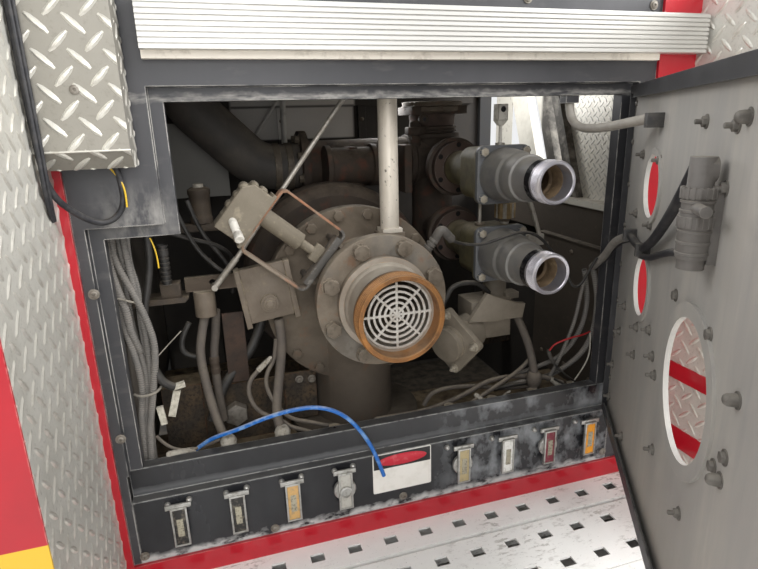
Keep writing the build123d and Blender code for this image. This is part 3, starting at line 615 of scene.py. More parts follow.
# Drain panel: the same steel in a glossier black, its top edge folded back under the door, its foot
# crusted with white oxide.
foot_crust = within(band("Z", 0.15, 0.138, 1.0, 0.012), patches(60, 0.4, 0.52, 1.0, (0.5, 1, 1), 8.0))
gloss_black = finish("gloss_black", "242427", 0.22, layers=[
    (patches(6, 0.42, 0.75, 0.6, (1, 1, 0.5)), "3c3d40", 0.35),
    (within(patches(22, 0.46, 0.62, 0.95, (1, 1, 0.7), 9.0), band("X", 0.02, 0.14, 1.0)), "8d9093", 0.6),
    (strip("Z", 0.262, 0.272, 0.005, 0.6, 0.003), "7e7f80", 0.5), (foot_crust, "bdbdbb", 0.85),
    (settled(0.7), "5f5d5a", 0.85), (edges(0.004, 1.0, 0.3, 0.5), "b9b8b4", 0.5)],
    grain=(500, 0.15, 0.0004), soft=0.003)
dress(gloss_black, "drain_panel")

# Aluminium: the ribbed rub rail and the lip under it, and the hinge, bright and lightly brushed along
# their length.
bright_aluminium = finish("bright_aluminium", "cfcdc8", 0.4, 0.5, layers=[
    (patches(220, 0.5, 0.8, 0.5, (0.03, 1, 1)), "aeaca7", 0.5), (settled(0.3), "bdb8ad", 0.7)],
    grain=(700, 0.08, 0.0003), soft=0.0008)
dress(bright_aluminium, "rub_rail", "hinge_leaf_fixed", "hinge_leaf_door")
lip_paint = finish("lip_paint", "efe7da", 0.5, 0.1, layers=[(patches(40, 0.54, 0.7, 0.5), "a79c8d", 0.7)])
dress(lip_paint, "rub_rail_lip")

# Running board: three punched aluminium planks under the panel, from the source. Their coating is worn
# white, speckled dark, and rubbed bare at the slots.
worn_plank = finish("worn_plank", "f2f1ed", 0.5, 0.0, layers=[
    (patches(9, 0.45, 0.68, 0.5), "eae8e4", 0.6), (patches(260, 0.64, 0.71, 0.6), "9d9891", 0.8),
    (within(patches(150, 0.53, 0.6, 0.7, (0.4, 1, 1), 9.0), patches(7, 0.52, 0.62)), "a8a39c", 0.8),
    (edges(0.002, 0.7), "a5a29b", 0.6)], grain=(600, 0.2, 0.0004), soft=0.001)
dress(worn_plank, "inner_plank", "outer_plank", "edge_plank")

# Drain valves: cast bodies behind the panel. In front of it each has a pull in a plated frame with a
# coloured insert, some with a round boss behind, hung from small acorn screws, two on the first four and one on
# the rest.
olive_layers = [(patches(24, share=0.7), "4a4334", 0.7), (settled(0.6), "93886f", 0.9),
                (edges(0.003, 0.8), "a98f5c", 0.5)]
valve_olive = finish("valve_olive", "6b6049", 0.6, layers=olive_layers, grain=(300, 0.4, 0.001), soft=0.003)
dress(valve_olive, "drain_valves")
plated = finish("plated", "b9b8b4", 0.3, 0.7, layers=[
    (patches(90, 0.5, 0.66, 0.7), "7f7c74", 0.6), (settled(0.5), "a69f92", 0.8)], soft=0.0008)
PULL_PITCH = 0.1015
PULL_X = [first + PULL_PITCH * i for first in (-0.467, 0.089) for i in range(4)]
PULL_Z, PULL_WIDE, PULL_TALL = 0.204, 0.028, 0.08
# Insert's colour, whether a small pale window shows in it, and whether a round boss stands behind
PULLS = [("262423", True, False), ("262423", True, False), ("c89f63", True, False), ("b5b2aa", False, True),
         ("b6a57c", True, True), ("ecebe6", True, False), ("7c2638", True, True), ("e89a1e", True, False)]


def tile(wide, tall, thick, inset=0.0, sink=0.0, place=RISE):
    """An upright plate, its face to -Y and sunk inside a rim. place is where the face's middle goes."""
    bpy.ops.object.select_all(action="DESELECT")
    bpy.ops.mesh.primitive_cube_add(size=1, location=(0, thick / 2, 0))
    made = bpy.context.object
    bpy.ops.transform.resize(value=(wide, thick, tall))
    bpy.ops.object.transform_apply(location=True, scale=True)
    pick(made, lambda spot, way: way.y < -0.9)
    bpy.ops.mesh.bevel(offset=min(wide, thick) * 0.12, segments=2, affect="EDGES")
    if inset:
        leave_edit()
        pick(made, lambda spot, way: way.y < -0.99 and abs(spot.x) < 1e-4 and abs(spot.z) < 1e-4)
        bpy.ops.mesh.inset(thickness=inset)
        bpy.ops.mesh.extrude_region_move(TRANSFORM_OT_translate={"value": (0, sink, 0)})
    leave_edit()
    made.matrix_world = place
    return made


pull_window = finish("pull_window", "a7a08c", 0.5, layers=[(patches(300, 0.5, 0.62, 0.8), "5f5a4e", 0.6)])
acorn = turned([(0.0055, 0), (0.0055, 0.003), (0.0046, 0.006), (0.0026, 0.008), (0.0008, 0.0086)], 14)
RIM = [(0.022, 0), (0.022, 0.006), (0.02, 0.008)]
KNOB = [(0.0125, 0), (0.0125, 0.004), (0.009, 0.0055), (0.009, 0.003), (0.004, 0.003)]
acorn_places = []
for number, (x, (colour, window, boss)) in enumerate(zip(PULL_X, PULLS), start=1):
    framed = tile(PULL_WIDE, PULL_TALL, 0.006, 0.0026, 0.003, at(x, -0.018, PULL_Z))
    ear = tile(PULL_WIDE + 0.016, 0.009, 0.004, place=at(x, -0.014, PULL_Z + PULL_TALL / 2 + 0.001))
    parts = [framed, ear]
    if boss:
        parts.append(turned(RIM, 32, at(x, -0.004, PULL_Z - 0.001, OUT)))
    if boss and not window:
        parts.append(turned(KNOB, 24, at(x, -0.016, PULL_Z - 0.001, OUT)))
    fit(joined(parts), f"pull_frame_{number}", plated,
        stands_for=("drain_handles",) if number == 1 else ())
    insert = tile(PULL_WIDE - 0.0075, PULL_TALL - 0.0075, 0.003, place=at(x, -0.0172, PULL_Z))
    insert_finish = finish(f"insert_{number}", colour, 0.5, layers=[
        (patches(110, 0.5, 0.64, 0.5), "8a8172", 0.7), (edges(0.001, 0.8), "6a6358", 0.6)])
    fit(insert, f"pull_insert_{number}", insert_finish)
    if window:
        fit(tile(0.011, 0.036, 0.002, place=at(x, -0.0182, PULL_Z - 0.001)), f"pull_window_{number}",
            pull_window)
    screws = [(-0.018, 0.041), (0.019, 0.044)] if number < 5 else [(-0.033, 0.042)]
    acorn_places += [at(x + dx, -0.001, PULL_Z + dz, OUT) for dx, dz in screws]
fit(spread(acorn, acorn_places), "pull_screws", plated)

# Label plate: a white sheet fixed to the drain panel, with a black header that holds a red oval. It stays
# blank.
low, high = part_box("label_plate")
white_plate = finish("white_plate", "e6e2db", 0.4, layers=[(patches(40, 0.5, 0.7, 0.4), "c9c3b8", 0.6)])
dress(white_plate, "label_plate")
header_black = finish("header_black", "1c1a1b", 0.4, layers=[(patches(60, 0.56, 0.7, 0.5), "6b6763", 0.6)])
oval_red = finish("oval_red", "c11f33", 0.35, layers=[(patches(60, 0.56, 0.7, 0.4), "d98a8a", 0.6)])
middle_x, wide, tall = (low.x + high.x) / 2, high.x - low.x, high.z - low.z
header_z = high.z - tall * 0.2
fit(tile(wide - 0.004, tall * 0.36, 0.0006, place=at(middle_x, low.y - 0.0004, header_z)), "label_header",
    header_black)
oval_place = at(middle_x, low.y - 0.0003, header_z, OUT) @ Matrix.Diagonal((wide * 0.84, tall * 0.28, 1, 1))
fit(turned([(0.5, 0), (0.5, 0.0004), (0.49, 0.0006)], 48, oval_place), "label_oval", oval_red)

# Pump castings: the suction body, volute, gearbox and manifold are grey iron under oily dust, with rust
# where paint is gone; the suction body darkens low down, which is painted shade. Their cast edges are rounded.
cast_layers = [(patches(18, share=0.7), "52483c", 0.8), (patches(30, 0.58, 0.74, 0.6), "7a5236", 0.85),
               (settled(0.8), "9a8f7e", 0.95), (edges(0.004, 0.6), "a5988a", 0.7)]
CAST_GRAIN, CAST_EDGE = (260, 0.5, 0.0012), 0.004
cast_dusty = finish("cast_dusty", "6c6153", 0.72, layers=cast_layers, grain=CAST_GRAIN, soft=CAST_EDGE)
flange_worn = finish("flange_worn", "756a5c", 0.62, 0.1, layers=[
    (patches(9, 0.46, 0.62, 0.8), "8b8983", 0.55)] + cast_layers, grain=CAST_GRAIN, soft=CAST_EDGE)
# The suction body's lower part is darkened, which is painted shade.
leg_painted_shade_low = finish("leg_painted_shade_low", "665b4d", 0.72, layers=cast_layers + [
    (band("Z", 0.52, 0.36, 0.75, 0.02), "352d25", 0.8)], grain=CAST_GRAIN, soft=CAST_EDGE)
cast_brown = finish("cast_brown", "473c32", 0.75, layers=[
    (patches(18, share=0.7), "38302a", 0.8), (patches(26, 0.54, 0.72, 0.7), "6d4030", 0.85),
    (settled(0.8), "7d7061", 0.95)], grain=CAST_GRAIN, soft=CAST_EDGE)


def softened(name, material, wide, stands_as=None, angle=40, body="module"):
    """A copy of a CAD casting with its edges rounded, which stands for it."""
    made = nodes[name].copy()
    made.data = nodes[name].data.copy()
    made.parent = None
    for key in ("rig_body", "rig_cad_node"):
        del made[key]
    bpy.context.scene.collection.objects.link(made)
    only(made)
    bpy.ops.object.mode_set(mode="EDIT")
    bpy.ops.mesh.select_all(action="SELECT")
    bpy.ops.mesh.remove_doubles(threshold=1e-6)
    bpy.ops.mesh.dissolve_limited(angle_limit=math.radians(1))
    leave_edit()
    rounding = made.modifiers.new("rounding", "BEVEL")
    rounding.width = wide
    rounding.segments = 2
    rounding.limit_method = "ANGLE"
    rounding.angle_limit = math.radians(angle)
    bpy.ops.object.modifier_apply(modifier="rounding")
    return fit(made, stands_as or name + "_casting", material, body, stands_for=(name,))


softened("suction_body", leg_painted_shade_low, 0.0016)
softened("intake_flange", flange_worn, 0.0016)
softened("pump_gearbox", cast_brown, 0.003)
softened("discharge_manifold", cast_brown, 0.003)
dress(cast_brown, "pump_volute")

# Intake: an eight-bolt flange, a machined collar turned in steps, and a hose thread ring of bronze that
# has gone orange, with a dark line behind it. A pale strainer of rings and spokes is pressed inside.
IN_X, IN_Z = -0.062, 0.565
FLANGE_Y, BOLT_CIRCLE = 0.03, 0.108
collar_dusty = finish("collar_dusty", "a0968a", 0.5, 0.25, layers=[
    (patches(16, 0.42, 0.7, 0.7, (1, 0.5, 1)), "877b6c", 0.6), (settled(0.8), "c0b8aa", 0.9),
    (band("Y", 0.012, 0.03, 0.9, 0.004), "6b5d4c", 0.85), (edges(0.002, 0.8), "b58a5c", 0.6)],
    grain=(300, 0.3, 0.0006), soft=0.0015)
dress(collar_dusty, "intake_collar")
thread_bronze = finish("thread_bronze", "93653a", 0.5, 0.35, layers=[
    (patches(30, 0.45, 0.66, 0.8), "6a4a30", 0.7), (patches(14, 0.52, 0.7, 0.7), "c98742", 0.6),
    (settled(0.5), "b0987c", 0.9), (edges(0.001, 0.9, 0.3, 0.5), "d9a562", 0.4)],
    grain=(300, 0.3, 0.0006))


def threaded(inner, outer, depth, pitch, length, sides, place):
    """A thread ring, its face at its place and its body behind, cut as rings of one thread each."""
    profile = [(inner + 0.0015, 0), (outer - 0.0025, 0), (outer - 0.001, -0.0025)]
    crest = -0.0035
    while crest - pitch > -length + 0.004:
        profile += [(outer, crest), (outer, crest - pitch * 0.2), (outer - depth, crest - pitch * 0.45),
                    (outer - depth, crest - pitch * 0.75)]
        crest -= pitch
    profile += [(outer, crest), (outer, -length), (inner, -length), (inner, -0.0015), (inner + 0.0015, 0)]
    return turned(profile, sides, place)


fit(threaded(0.069, 0.0795, 0.0026, 0.00635, 0.03, 72, at(IN_X, -0.08, IN_Z, OUT)), "intake_thread",
    thread_bronze, stands_for=("intake_thread_ring",))
dark_seal = finish("dark_seal", "23252a", 0.35, layers=[(patches(40, 0.5, 0.7, 0.6), "56534f", 0.6)])
fit(turned([(0.0763, 0), (0.0775, 0.001), (0.0775, 0.007), (0.0763, 0.008), (0.0763, 0)], 72,
           at(IN_X, -0.0405, IN_Z, OUT)), "intake_seal", dark_seal)
strainer_pale = finish("strainer_pale", "c9c5be", 0.45, 0.25, layers=[
    (patches(70, 0.48, 0.66, 0.7), "a39a8c", 0.6), (settled(0.6), "b5ab9b", 0.8)],
    grain=(500, 0.2, 0.0003), soft=0.0006)
softened("strainer", strainer_pale, 0.0006, "strainer_disc", 50)
tab_places = [at(IN_X, -0.0498, IN_Z) @ Matrix.Rotation(math.radians(a), 4, "Y") @ at(0, 0, 0.0655)
              for a in range(0, 360, 30)]
fit(spread(tile(0.005, 0.008, 0.0036), tab_places), "strainer_tabs", strainer_pale)
worn_bolt_dark = finish("worn_bolt_dark", "6f6558", 0.55, 0.25, layers=[
    (patches(70, 0.45, 0.66, 0.8), "544a3f", 0.7), (settled(0.6), "9b9080", 0.9),
    (edges(0.002, 0.8), "b3a48f", 0.5)], soft=0.001)


def circle(centre, radius, count, first, turn=OUT):
    """Places evenly round a circle, the first at an angle in degrees."""
    step = 360 / count
    return [Matrix.Translation(centre) @ turn @ at(radius * math.cos(a), radius * math.sin(a), 0)
            for a in (math.radians(first + step * i) for i in range(count))]


flange_bolt = joined([turned([(0.0165, 0), (0.0165, 0.0015), (0.016, 0.002)], 24), bolt(0.0274, 0.0145)])
fit(spread(flange_bolt, circle((IN_X, FLANGE_Y, IN_Z), BOLT_CIRCLE, 8, 22.5)), "flange_bolts",
    worn_bolt_dark)

# Support pole: a galvanised pipe from the panel's top to the intake flange, chipped, its foot on a small
# plate.
pole_grey = finish("pole_grey", "dcd3c5", 0.4, 0.25, layers=[
    (patches(30, 0.46, 0.7, 0.6, (1, 1, 0.3)), "b3a999", 0.6), (patches(120, 0.64, 0.7, 0.9), "4b4339", 0.8)],
    grain=(300, 0.3, 0.0005), soft=0.0015)
dress(pole_grey, "support_pole")

# Outlets: two hose threads, one over the other, plated, on cast adapters with a glossy black band.
# Their waterways are scaled brown, with a seat ring some way in.
OUT_X, OUT_HEIGHTS = 0.229, {"upper": 0.779, "lower": 0.613}
chromed = finish("chromed", "cbc8ce", 0.28, 0.75, layers=[
    (patches(30, 0.5, 0.7, 0.6), "a7a0ae", 0.4), (patches(25, 0.54, 0.72, 0.6), "b8a78e", 0.55),
    (edges(0.001, 0.7, 0.3, 0.5), "ece9ee", 0.25)], grain=(200, 0.06, 0.0003))
# The adapters are lighter and glossier from just behind the panel forward, which is painted light.
adapter_dark = finish("adapter_dark", "75736f", 0.42, 0.2, layers=[
    (patches(20, share=0.7), "57565a", 0.45), (patches(60, 0.58, 0.7, 0.5), "8b8172", 0.7),
    (band("Y", 0.04, 0.036, 0.35), "8d8a86", 0.4), (settled(0.5), "a39c90", 0.9)],
    grain=(300, 0.4, 0.001), soft=0.003)
scaled_bore = finish("scaled_bore", "8a755a", 0.7, layers=[
    (patches(40, share=0.8), "5a4a38", 0.8), (patches(70, 0.56, 0.7, 0.7), "c8b48c", 0.7)],
    grain=(200, 0.6, 0.001))
band_black_and_hole_shade = finish("band_black_and_hole_shade", "17171a", 0.22, layers=[(patches(60, 0.52, 0.7, 0.4), "4a4845", 0.5)])
for side, z in OUT_HEIGHTS.items():
    fit(threaded(0.03175, 0.039, 0.0018, 0.0034, 0.03, 56, at(OUT_X, -0.076, z, OUT)),
        f"outlet_thread_{side}", chromed, stands_for=(f"outlet_ring_{side}",))
    dress(adapter_dark, f"outlet_adapter_{side}")
    band_ring = turned([(0.0361, 0), (0.039, 0.0006), (0.0384, 0.0165), (0.0361, 0.0172), (0.0361, 0)], 56,
                       at(OUT_X, -0.0286, z, OUT))
    fit(band_ring, f"outlet_band_{side}", band_black_and_hole_shade)
    liner = turned([(0.0316, 0), (0.0316, -0.16), (0.0276, -0.16), (0.0276, -0.042), (0.0262, -0.04),
                    (0.0262, -0.034), (0.0302, -0.031), (0.0308, -0.002), (0.0316, 0)], 56,
                   at(OUT_X, -0.046, z, OUT))
    fit(liner, f"outlet_bore_{side}", scaled_bore)

# Outlet valves: square cast bodies with a bolted face plate each. Olive and brown, their edges worn to
# brass, with pale bolts.
valve_layers = [(patches(24, share=0.7), "4a4436", 0.7), (patches(50, 0.56, 0.72, 0.5), "837455", 0.8),
                (settled(0.8), "9c917c", 0.9), (edges(0.0025, 0.9, 0.4, 0.6), "b39a66", 0.5)]
valve_cast = finish("valve_cast", "6a6347", 0.6, layers=valve_layers + [
    (band("Y", 0.1235, 0.1225), "5d5e60", 0.45), (strip("Y", 0.32, 0.4, 0.004), "4b3c34", 0.8),
    (edges(0.002, 0.8, 0.4, 0.6), "a3a19a", 0.45)],
    grain=(300, 0.5, 0.001), soft=0.002)
pale_bolt = finish("pale_bolt", "a8a091", 0.5, 0.3, layers=[
    (patches(70, 0.45, 0.66, 0.7), "7a6f5e", 0.7), (settled(0.5), "c5bdae", 0.9)], soft=0.001)
face_bolts, rear_holes = [], []
for side, z in OUT_HEIGHTS.items():
    softened(f"valve_body_{side}", valve_cast, 0.002)
    face_bolts += [at(OUT_X + dx, 0.112, z + dz, OUT) for dx in (-0.047, 0.047) for dz in (-0.047, 0.047)]
    rear_holes += circle((OUT_X, 0.33, z), 0.054, 6, 30)
fit(spread(bolt(0.0155, 0.0085), face_bolts), "valve_face_bolts", pale_bolt)
# The valves' rear bolt holes are thin near-black discs, painted shade that stands in for open holes.
hole_painted_shade = finish("hole_painted_shade", "0d0c0b", 0.9, layers=[(patches(60, 0.5, 0.7, 0.3), "241e19", 0.9)])
hole_shade_disc = turned([(0.0062, 0), (0.0062, 0.0004), (0.0054, 0.0007)], 18)
fit(spread(hole_shade_disc, rear_holes), "valve_rear_hole_shades", hole_painted_shade)

# Discharge pipes: cast header and column behind the valves, with bolted flanges and a grooved coupling
# round the column. The large rubber hose to the tank leaves the header's left end in two clamps.
rubber_dusty = finish("rubber_dusty", "4a4642", 0.65, layers=[
    (patches(14, share=0.7), "635c54", 0.8), (settled(0.8), "8a8072", 0.95)],
    grain=(200, 0.4, 0.0008))
dress(rubber_dusty, "tank_line")
HEADER_Y, HEADER_Z, END_FLANGE_X, END_CIRCLE, TOP_FLANGE_Z = 0.5, 0.79, -0.131, 0.07, 0.925
TO_LEFT = Matrix.Rotation(-math.pi / 2, 4, "Y")     # local Z to the left
end_bolts = [at(END_FLANGE_X, HEADER_Y + END_CIRCLE * math.cos(a), HEADER_Z + END_CIRCLE * math.sin(a), TO_LEFT)
             for a in (math.radians(45 * i + 22.5) for i in range(8))]
top_bolts = [at(OUT_X + dx, HEADER_Y + dy, TOP_FLANGE_Z) for dx in (-0.058, 0.058) for dy in (-0.04, 0.04)]
fit(spread(bolt(0.016, 0.009, 0.0015), end_bolts + top_bolts), "header_bolts", worn_bolt_dark)
coupling = turned([(0.0552, 0), (0.072, 0.001), (0.072, 0.011), (0.058, 0.012), (0.058, 0.014),
                   (0.064, 0.015), (0.064, 0.019), (0.06, 0.0195), (0.06, 0.0225), (0.064, 0.023),
                   (0.064, 0.028), (0.0575, 0.029), (0.0552, 0.0295), (0.0552, 0)], 40,
                  at(OUT_X, HEADER_Y, 0.846))
header_ring = turned([(0.0552, 0), (0.066, 0.001), (0.066, 0.006), (0.061, 0.007), (0.061, 0.016),
                      (0.066, 0.017), (0.066, 0.022), (0.0552, 0.023), (0.0552, 0)], 40,
                     at(0.15, HEADER_Y, HEADER_Z, TO_RIGHT))
fit(joined([coupling, header_ring]), "column_coupling", cast_brown)
cast_red = finish("cast_red", "52433b", 0.78, layers=[
    (patches(26, share=0.8), "41362f", 0.85), (patches(40, 0.56, 0.74, 0.6), "745040", 0.85),
    (settled(0.8), "7d7061", 0.95)], grain=CAST_GRAIN)
red_neck = turned([(0.0552, 0), (0.059, 0.001), (0.0585, 0.016), (0.06, 0.018), (0.06, 0.028), (0.0552, 0.03),
                   (0.0552, 0)], 40, at(OUT_X, HEADER_Y, 0.8765))
fit(red_neck, "column_neck", cast_red)
octagon = turned([(0.0552, 0), (0.071, 0.001), (0.076, 0.004), (0.076, 0.013), (0.0745, 0.0145),
                  (0.0552, 0.015), (0.0552, 0)], 8)
top_disc = turned([(0.0552, 0.0155), (0.078, 0.016), (0.078, 0.026), (0.076, 0.0275), (0.0552, 0.028),
                   (0.0552, 0.0155)], 40)
top_plates = joined([octagon, top_disc])
top_plates.matrix_world = at(OUT_X, HEADER_Y, 0.909)
fit(top_plates, "column_top_flange", cast_dusty)

# Drain cock on the header: a rusty hexagon body on a short neck, with a pinned lug beside it. The tank
# hose's two clamps are bands of dull steel.
COCK = at(0.168, 0.462, 0.822)
cock_body = turned([(0.014, 0), (0.014, 0.032), (0.026, 0.034), (0.0275, 0.038), (0.0275, 0.05),
                    (0.025, 0.053)], 6, COCK)
cock_top = turned([(0.015, 0.052), (0.015, 0.064), (0.012, 0.068)], 20, COCK)
lug = turned([(0.011, 0), (0.013, 0.002), (0.013, 0.012), (0.011, 0.014)], 20, at(0.184, 0.452, 0.893, OUT))
fit(joined([cock_body, cock_top, lug]), "header_cock", cast_brown)
fit(turned([(0.005, 0), (0.005, 0.0004), (0.0042, 0.0006)], 16, at(0.184, 0.438, 0.893, OUT)),
    "header_cock_pin", dark_seal)
hose_clamp = turned([(0.0552, 0), (0.0572, 0.001), (0.0572, 0.015), (0.0552, 0.016), (0.0552, 0)], 48)
fit(spread(hose_clamp, [at(x, HEADER_Y, HEADER_Z, TO_RIGHT) for x in (-0.165, -0.195)]),
    "tank_hose_clamps", worn_bolt_dark)

# A third valve on the header, between two bolted plates: brown castings that show behind the support
# pole.
header_valve = turned([(0.05, -0.062), (0.05, -0.05), (0.044, -0.048), (0.044, 0.048), (0.05, 0.05),
                       (0.05, 0.062)], 32, at(-0.022, 0.405, HEADER_Z, TO_RIGHT))
FACE_LEFT = Matrix.Rotation(-math.pi / 2, 4, "Z")     # a plate's face to the left
PLATE_Y, PLATE_Z = 0.446, 0.776
valve_plates = [tile(0.112, 0.116, 0.019, place=at(x, PLATE_Y, PLATE_Z, FACE_LEFT)) for x in (-0.025, 0.1125)]
fit(joined([header_valve] + valve_plates), "header_valve", cast_brown)
valve_nuts = [at(-0.0252, PLATE_Y + dy, PLATE_Z + dz, TO_LEFT)
              for dy in (-0.043, 0.043) for dz in (-0.045, 0.045)]
fit(spread(bolt(0.016, 0.009, 0.0015), valve_nuts), "header_valve_nuts", worn_bolt_dark)

# Actuator: a die-cast housing with its cylinder and rod, in a strap frame that has rusted, a pale
# threaded stub below. Local X runs down the cylinder and local Z across it.
ACTUATOR = at(-0.292, 0.102, 0.752, Matrix.Rotation(math.radians(40), 4, "Y"))
actuator_beige = finish("actuator_beige", "766d5e", 0.6, layers=[
    (patches(20, share=0.7), "6c6455", 0.75), (patches(60, 0.58, 0.72, 0.5), "a59a85", 0.8),
    (settled(0.8), "aea391", 0.92), (edges(0.002, 0.7), "bdb29b", 0.6)], grain=(260, 0.5, 0.001), soft=0.002)
softened("actuator", actuator_beige, 0.0015, "actuator_housing")


def beyond(way, start, blur, share=1.0):
    """All that lies past a place along any direction."""
    def mask(tree, here):
        along = add(tree, "VectorMath", {0: here, 1: way}, operation="DOT_PRODUCT").outputs["Value"]
        return add(tree, "MapRange", {"Value": along, "From Min": start - blur, "From Max": start + blur,
                                      "To Max": share}).outputs["Result"]
    return mask


def toward(foot, tip):
    """A place at foot whose local Z points at tip."""
    return Matrix.Translation(foot) @ (tip - foot).to_track_quat("Z", "Y").to_matrix().to_4x4()


# The strap's upper half is rusted through its paint, and its lower end is still dark
STRAP_DARK = 0.16
down_strap = ACTUATOR.to_3x3() @ Vector((1, 0, 0))
across_strap = ACTUATOR.to_3x3() @ Vector((0, 0, 1))
upper_half = beyond(across_strap, across_strap.dot(ACTUATOR.translation), 0.02)
lower_end = beyond(down_strap, down_strap.dot(ACTUATOR.translation) + STRAP_DARK, 0.004)
rusty_strap = finish("rusty_strap", "85796a", 0.8, layers=[
    (patches(30, 0.46, 0.66, 0.7), "a0694a", 0.9),
    (within(upper_half, patches(24, 0.36, 0.6, 0.9)), "a3633f", 0.9),
    (patches(60, 0.5, 0.66, 0.7), "6b5f50", 0.85), (lower_end, "54504b", 0.6),
    (within(lower_end, patches(90, 0.57, 0.66, 0.5)), "928d85", 0.75), (settled(0.6), "a39280", 0.95)],
    grain=(260, 0.6, 0.001), soft=0.0015)
softened("actuator_bracket", rusty_strap, 0.0012, "actuator_strap")
STUB_FOOT, STUB_END = Vector((-0.3205, 0.078, 0.7325)), Vector((-0.3127, 0.03, 0.7052))
STUB_R, THREADS = 0.0074, 16
stub_long = (STUB_END - STUB_FOOT).length
stub = turned([(STUB_R, 0), (STUB_R, 0.012)]
              + [(STUB_R - 0.0013 * (i % 2), 0.0135 + 0.0016 * i) for i in range(THREADS)]
              + [(0.0082, 0.04), (0.0082, stub_long - 0.001), (0.0072, stub_long), (0.0052, stub_long),
                 (0.0048, stub_long - 0.0025)], 20, toward(STUB_FOOT, STUB_END))
whitened = finish("whitened", "d0ccc3", 0.6, layers=[(patches(90, 0.5, 0.66, 0.7), "8d877c", 0.7)])
fit(stub, "actuator_stub", whitened)
RIBS = [(-0.0215, 0.024, 0.01), (-0.0235, 0.006, 0.008), (-0.0225, -0.016, 0.01), (-0.0215, -0.036, 0.008),
        (-0.01, 0.0375, 0.008), (0.008, 0.0375, 0.009)]     # local X, local Z, radius
ribs = [turned([(r * 0.85, 0), (r, 0.006), (r, 0.03), (r * 0.9, 0.038), (r * 0.55, 0.041)], 14,
               ACTUATOR @ at(x, 0.024, z, OUT)) for x, z, r in RIBS]
fit(joined(ribs), "actuator_ribs", actuator_beige)
foot_bolts = [ACTUATOR @ at(0.178, -0.008, z, TO_RIGHT) for z in (0.038, -0.043)]
fit(spread(bolt(0.013, 0.008, 0.001), foot_bolts), "strap_bolts", worn_bolt_dark)

# Square valve under the actuator, with a round boss on its face, and the relief valve by the intake:
# both beige under dust, edges rounded by the casting.
# The square valve's upper left is darkened in a fixed band, which is painted shade.
valve_tan = finish("valve_tan", "6f6457", 0.62, layers=[
    (patches(20, share=0.6), "5b5044", 0.75), (patches(60, 0.58, 0.72, 0.5), "887c66", 0.8),
    (within(strip("X", -0.42, -0.325, 0.003), band("Z", 0.59, 0.594)), "51463b", 0.85),
    (settled(0.8), "a99e8b", 0.92), (edges(0.002, 0.6), "b8a888", 0.6)], grain=(260, 0.5, 0.001), soft=0.002)
softened("square_valve", valve_tan, 0.002, "square_valve_body")
SQUARE_VALVE = at(-0.268, 0.113, 0.583, Matrix.Rotation(math.radians(-8), 4, "Y"))
cap = turned([(0.0125, 0), (0.0125, 0.0025), (0.011, 0.0035), (0.0075, 0.0035), (0.007, 0.0055),
              (0.006, 0.006)], 28, SQUARE_VALVE @ at(0, -0.008, -0.02, OUT))
fit(cap, "square_valve_cap", valve_tan)
relief_grey = finish("relief_grey", "7f7669", 0.6, layers=[
    (patches(20, share=0.6), "675e50", 0.7), (settled(0.8), "a59b8a", 0.92),
    (edges(0.002, 0.7), "b5a486", 0.6)], grain=(260, 0.5, 0.001), soft=0.002)
softened("relief_valve", relief_grey, 0.002, "relief_valve_body")
# Its face looks left and out of the bay, and one corner of the face points up
face_way = Vector((-0.879, -0.465, -0.103)).normalized()
corner_up = Vector((0.29888, -0.56576, 0.77))
corner_way = (corner_up - face_way * face_way.dot(corner_up)).normalized()
face_turn = Matrix((corner_way, face_way.cross(corner_way), face_way)).transposed().to_4x4()
RELIEF = at(0.111, 0.105, 0.429, face_turn)
stud_places = [RELIEF @ at(x, y, 0) for x in (-0.044, 0.044) for y in (-0.044, 0.044)]
stud_end = turned([(0.0035, 0.008), (0.0035, 0.014), (0.0028, 0.0148)], 10)
relief_stud = joined([bolt(0.013, 0.008, 0.001), stud_end])
fit(spread(relief_stud, stud_places), "relief_valve_studs", pale_bolt)
fit(turned([(0.0382, 0.004), (0.0392, 0.005), (0.0392, 0.008), (0.0382, 0.009), (0.0382, 0.004)], 48, RELIEF),
    "relief_valve_ring", relief_grey)

# Control rods: a plated pull rod up to the header, a dusty link and hanger, and a brass hexagon block
# on the links between the two valves.
rod_plated = finish("rod_plated", "a8a39a", 0.4, 0.5, layers=[
    (patches(60, 0.46, 0.66, 0.7), "7d7467", 0.6), (settled(0.5), "b5ac9b", 0.8)], soft=0.0008)
dress(rod_plated, "control_rods")
brass_ochre = finish("brass_ochre", "7f6a45", 0.7, 0.0, layers=[
    (patches(60, 0.46, 0.66, 0.7), "66553a", 0.8), (settled(0.5), "a5977a", 0.9)])
LINK_X, HANGER_X, LINK_Y = 0.265, 0.204, 0.165
fit(turned([(0.0222, 0), (0.0226, 0.0012), (0.0226, 0.0318), (0.0218, 0.033)], 6, at(LINK_X, LINK_Y, 0.6795)),
    "brass_block", brass_ochre)
collars = [at(LINK_X, LINK_Y, z) for z in (0.672, 0.7135)] + [at(HANGER_X, LINK_Y, z) for z in (0.668, 0.722)]
fit(spread(turned([(0.0105, 0), (0.0112, 0.001), (0.0112, 0.005), (0.0105, 0.006)], 20), collars),
    "link_collars", worn_bolt_dark)

# Fork at the top of the upper valve's stem: a white clevis on a white rod, drawn out narrower where the
# rod enters. Its pin hole is a black disc on its face, which is painted shade.
CLEVIS_X, CLEVIS_Y = 0.239, 0.1397
fork = tile(0.0226, 0.033, 0.0206)
pick(fork, lambda spot, way: way.z < -0.9)
bpy.ops.mesh.extrude_region_move(TRANSFORM_OT_translate={"value": (0, 0, -0.01)})
bpy.ops.transform.resize(value=(0.4, 0.5, 1))
leave_edit()
fork.location = (CLEVIS_X, CLEVIS_Y, 0.902)
stem = turned([(0.0036, 0), (0.0036, 0.046)], 14, at(CLEVIS_X, 0.15, 0.842))
fit(joined([fork, stem]), "clevis", whitened)
# The pin hole: a black disc, painted shade.
fit(turned([(0.0058, 0), (0.0058, 0.0004), (0.005, 0.0006)], 20, at(CLEVIS_X, CLEVIS_Y, 0.908, OUT)),
    "clevis_hole_shade", band_black_and_hole_shade)
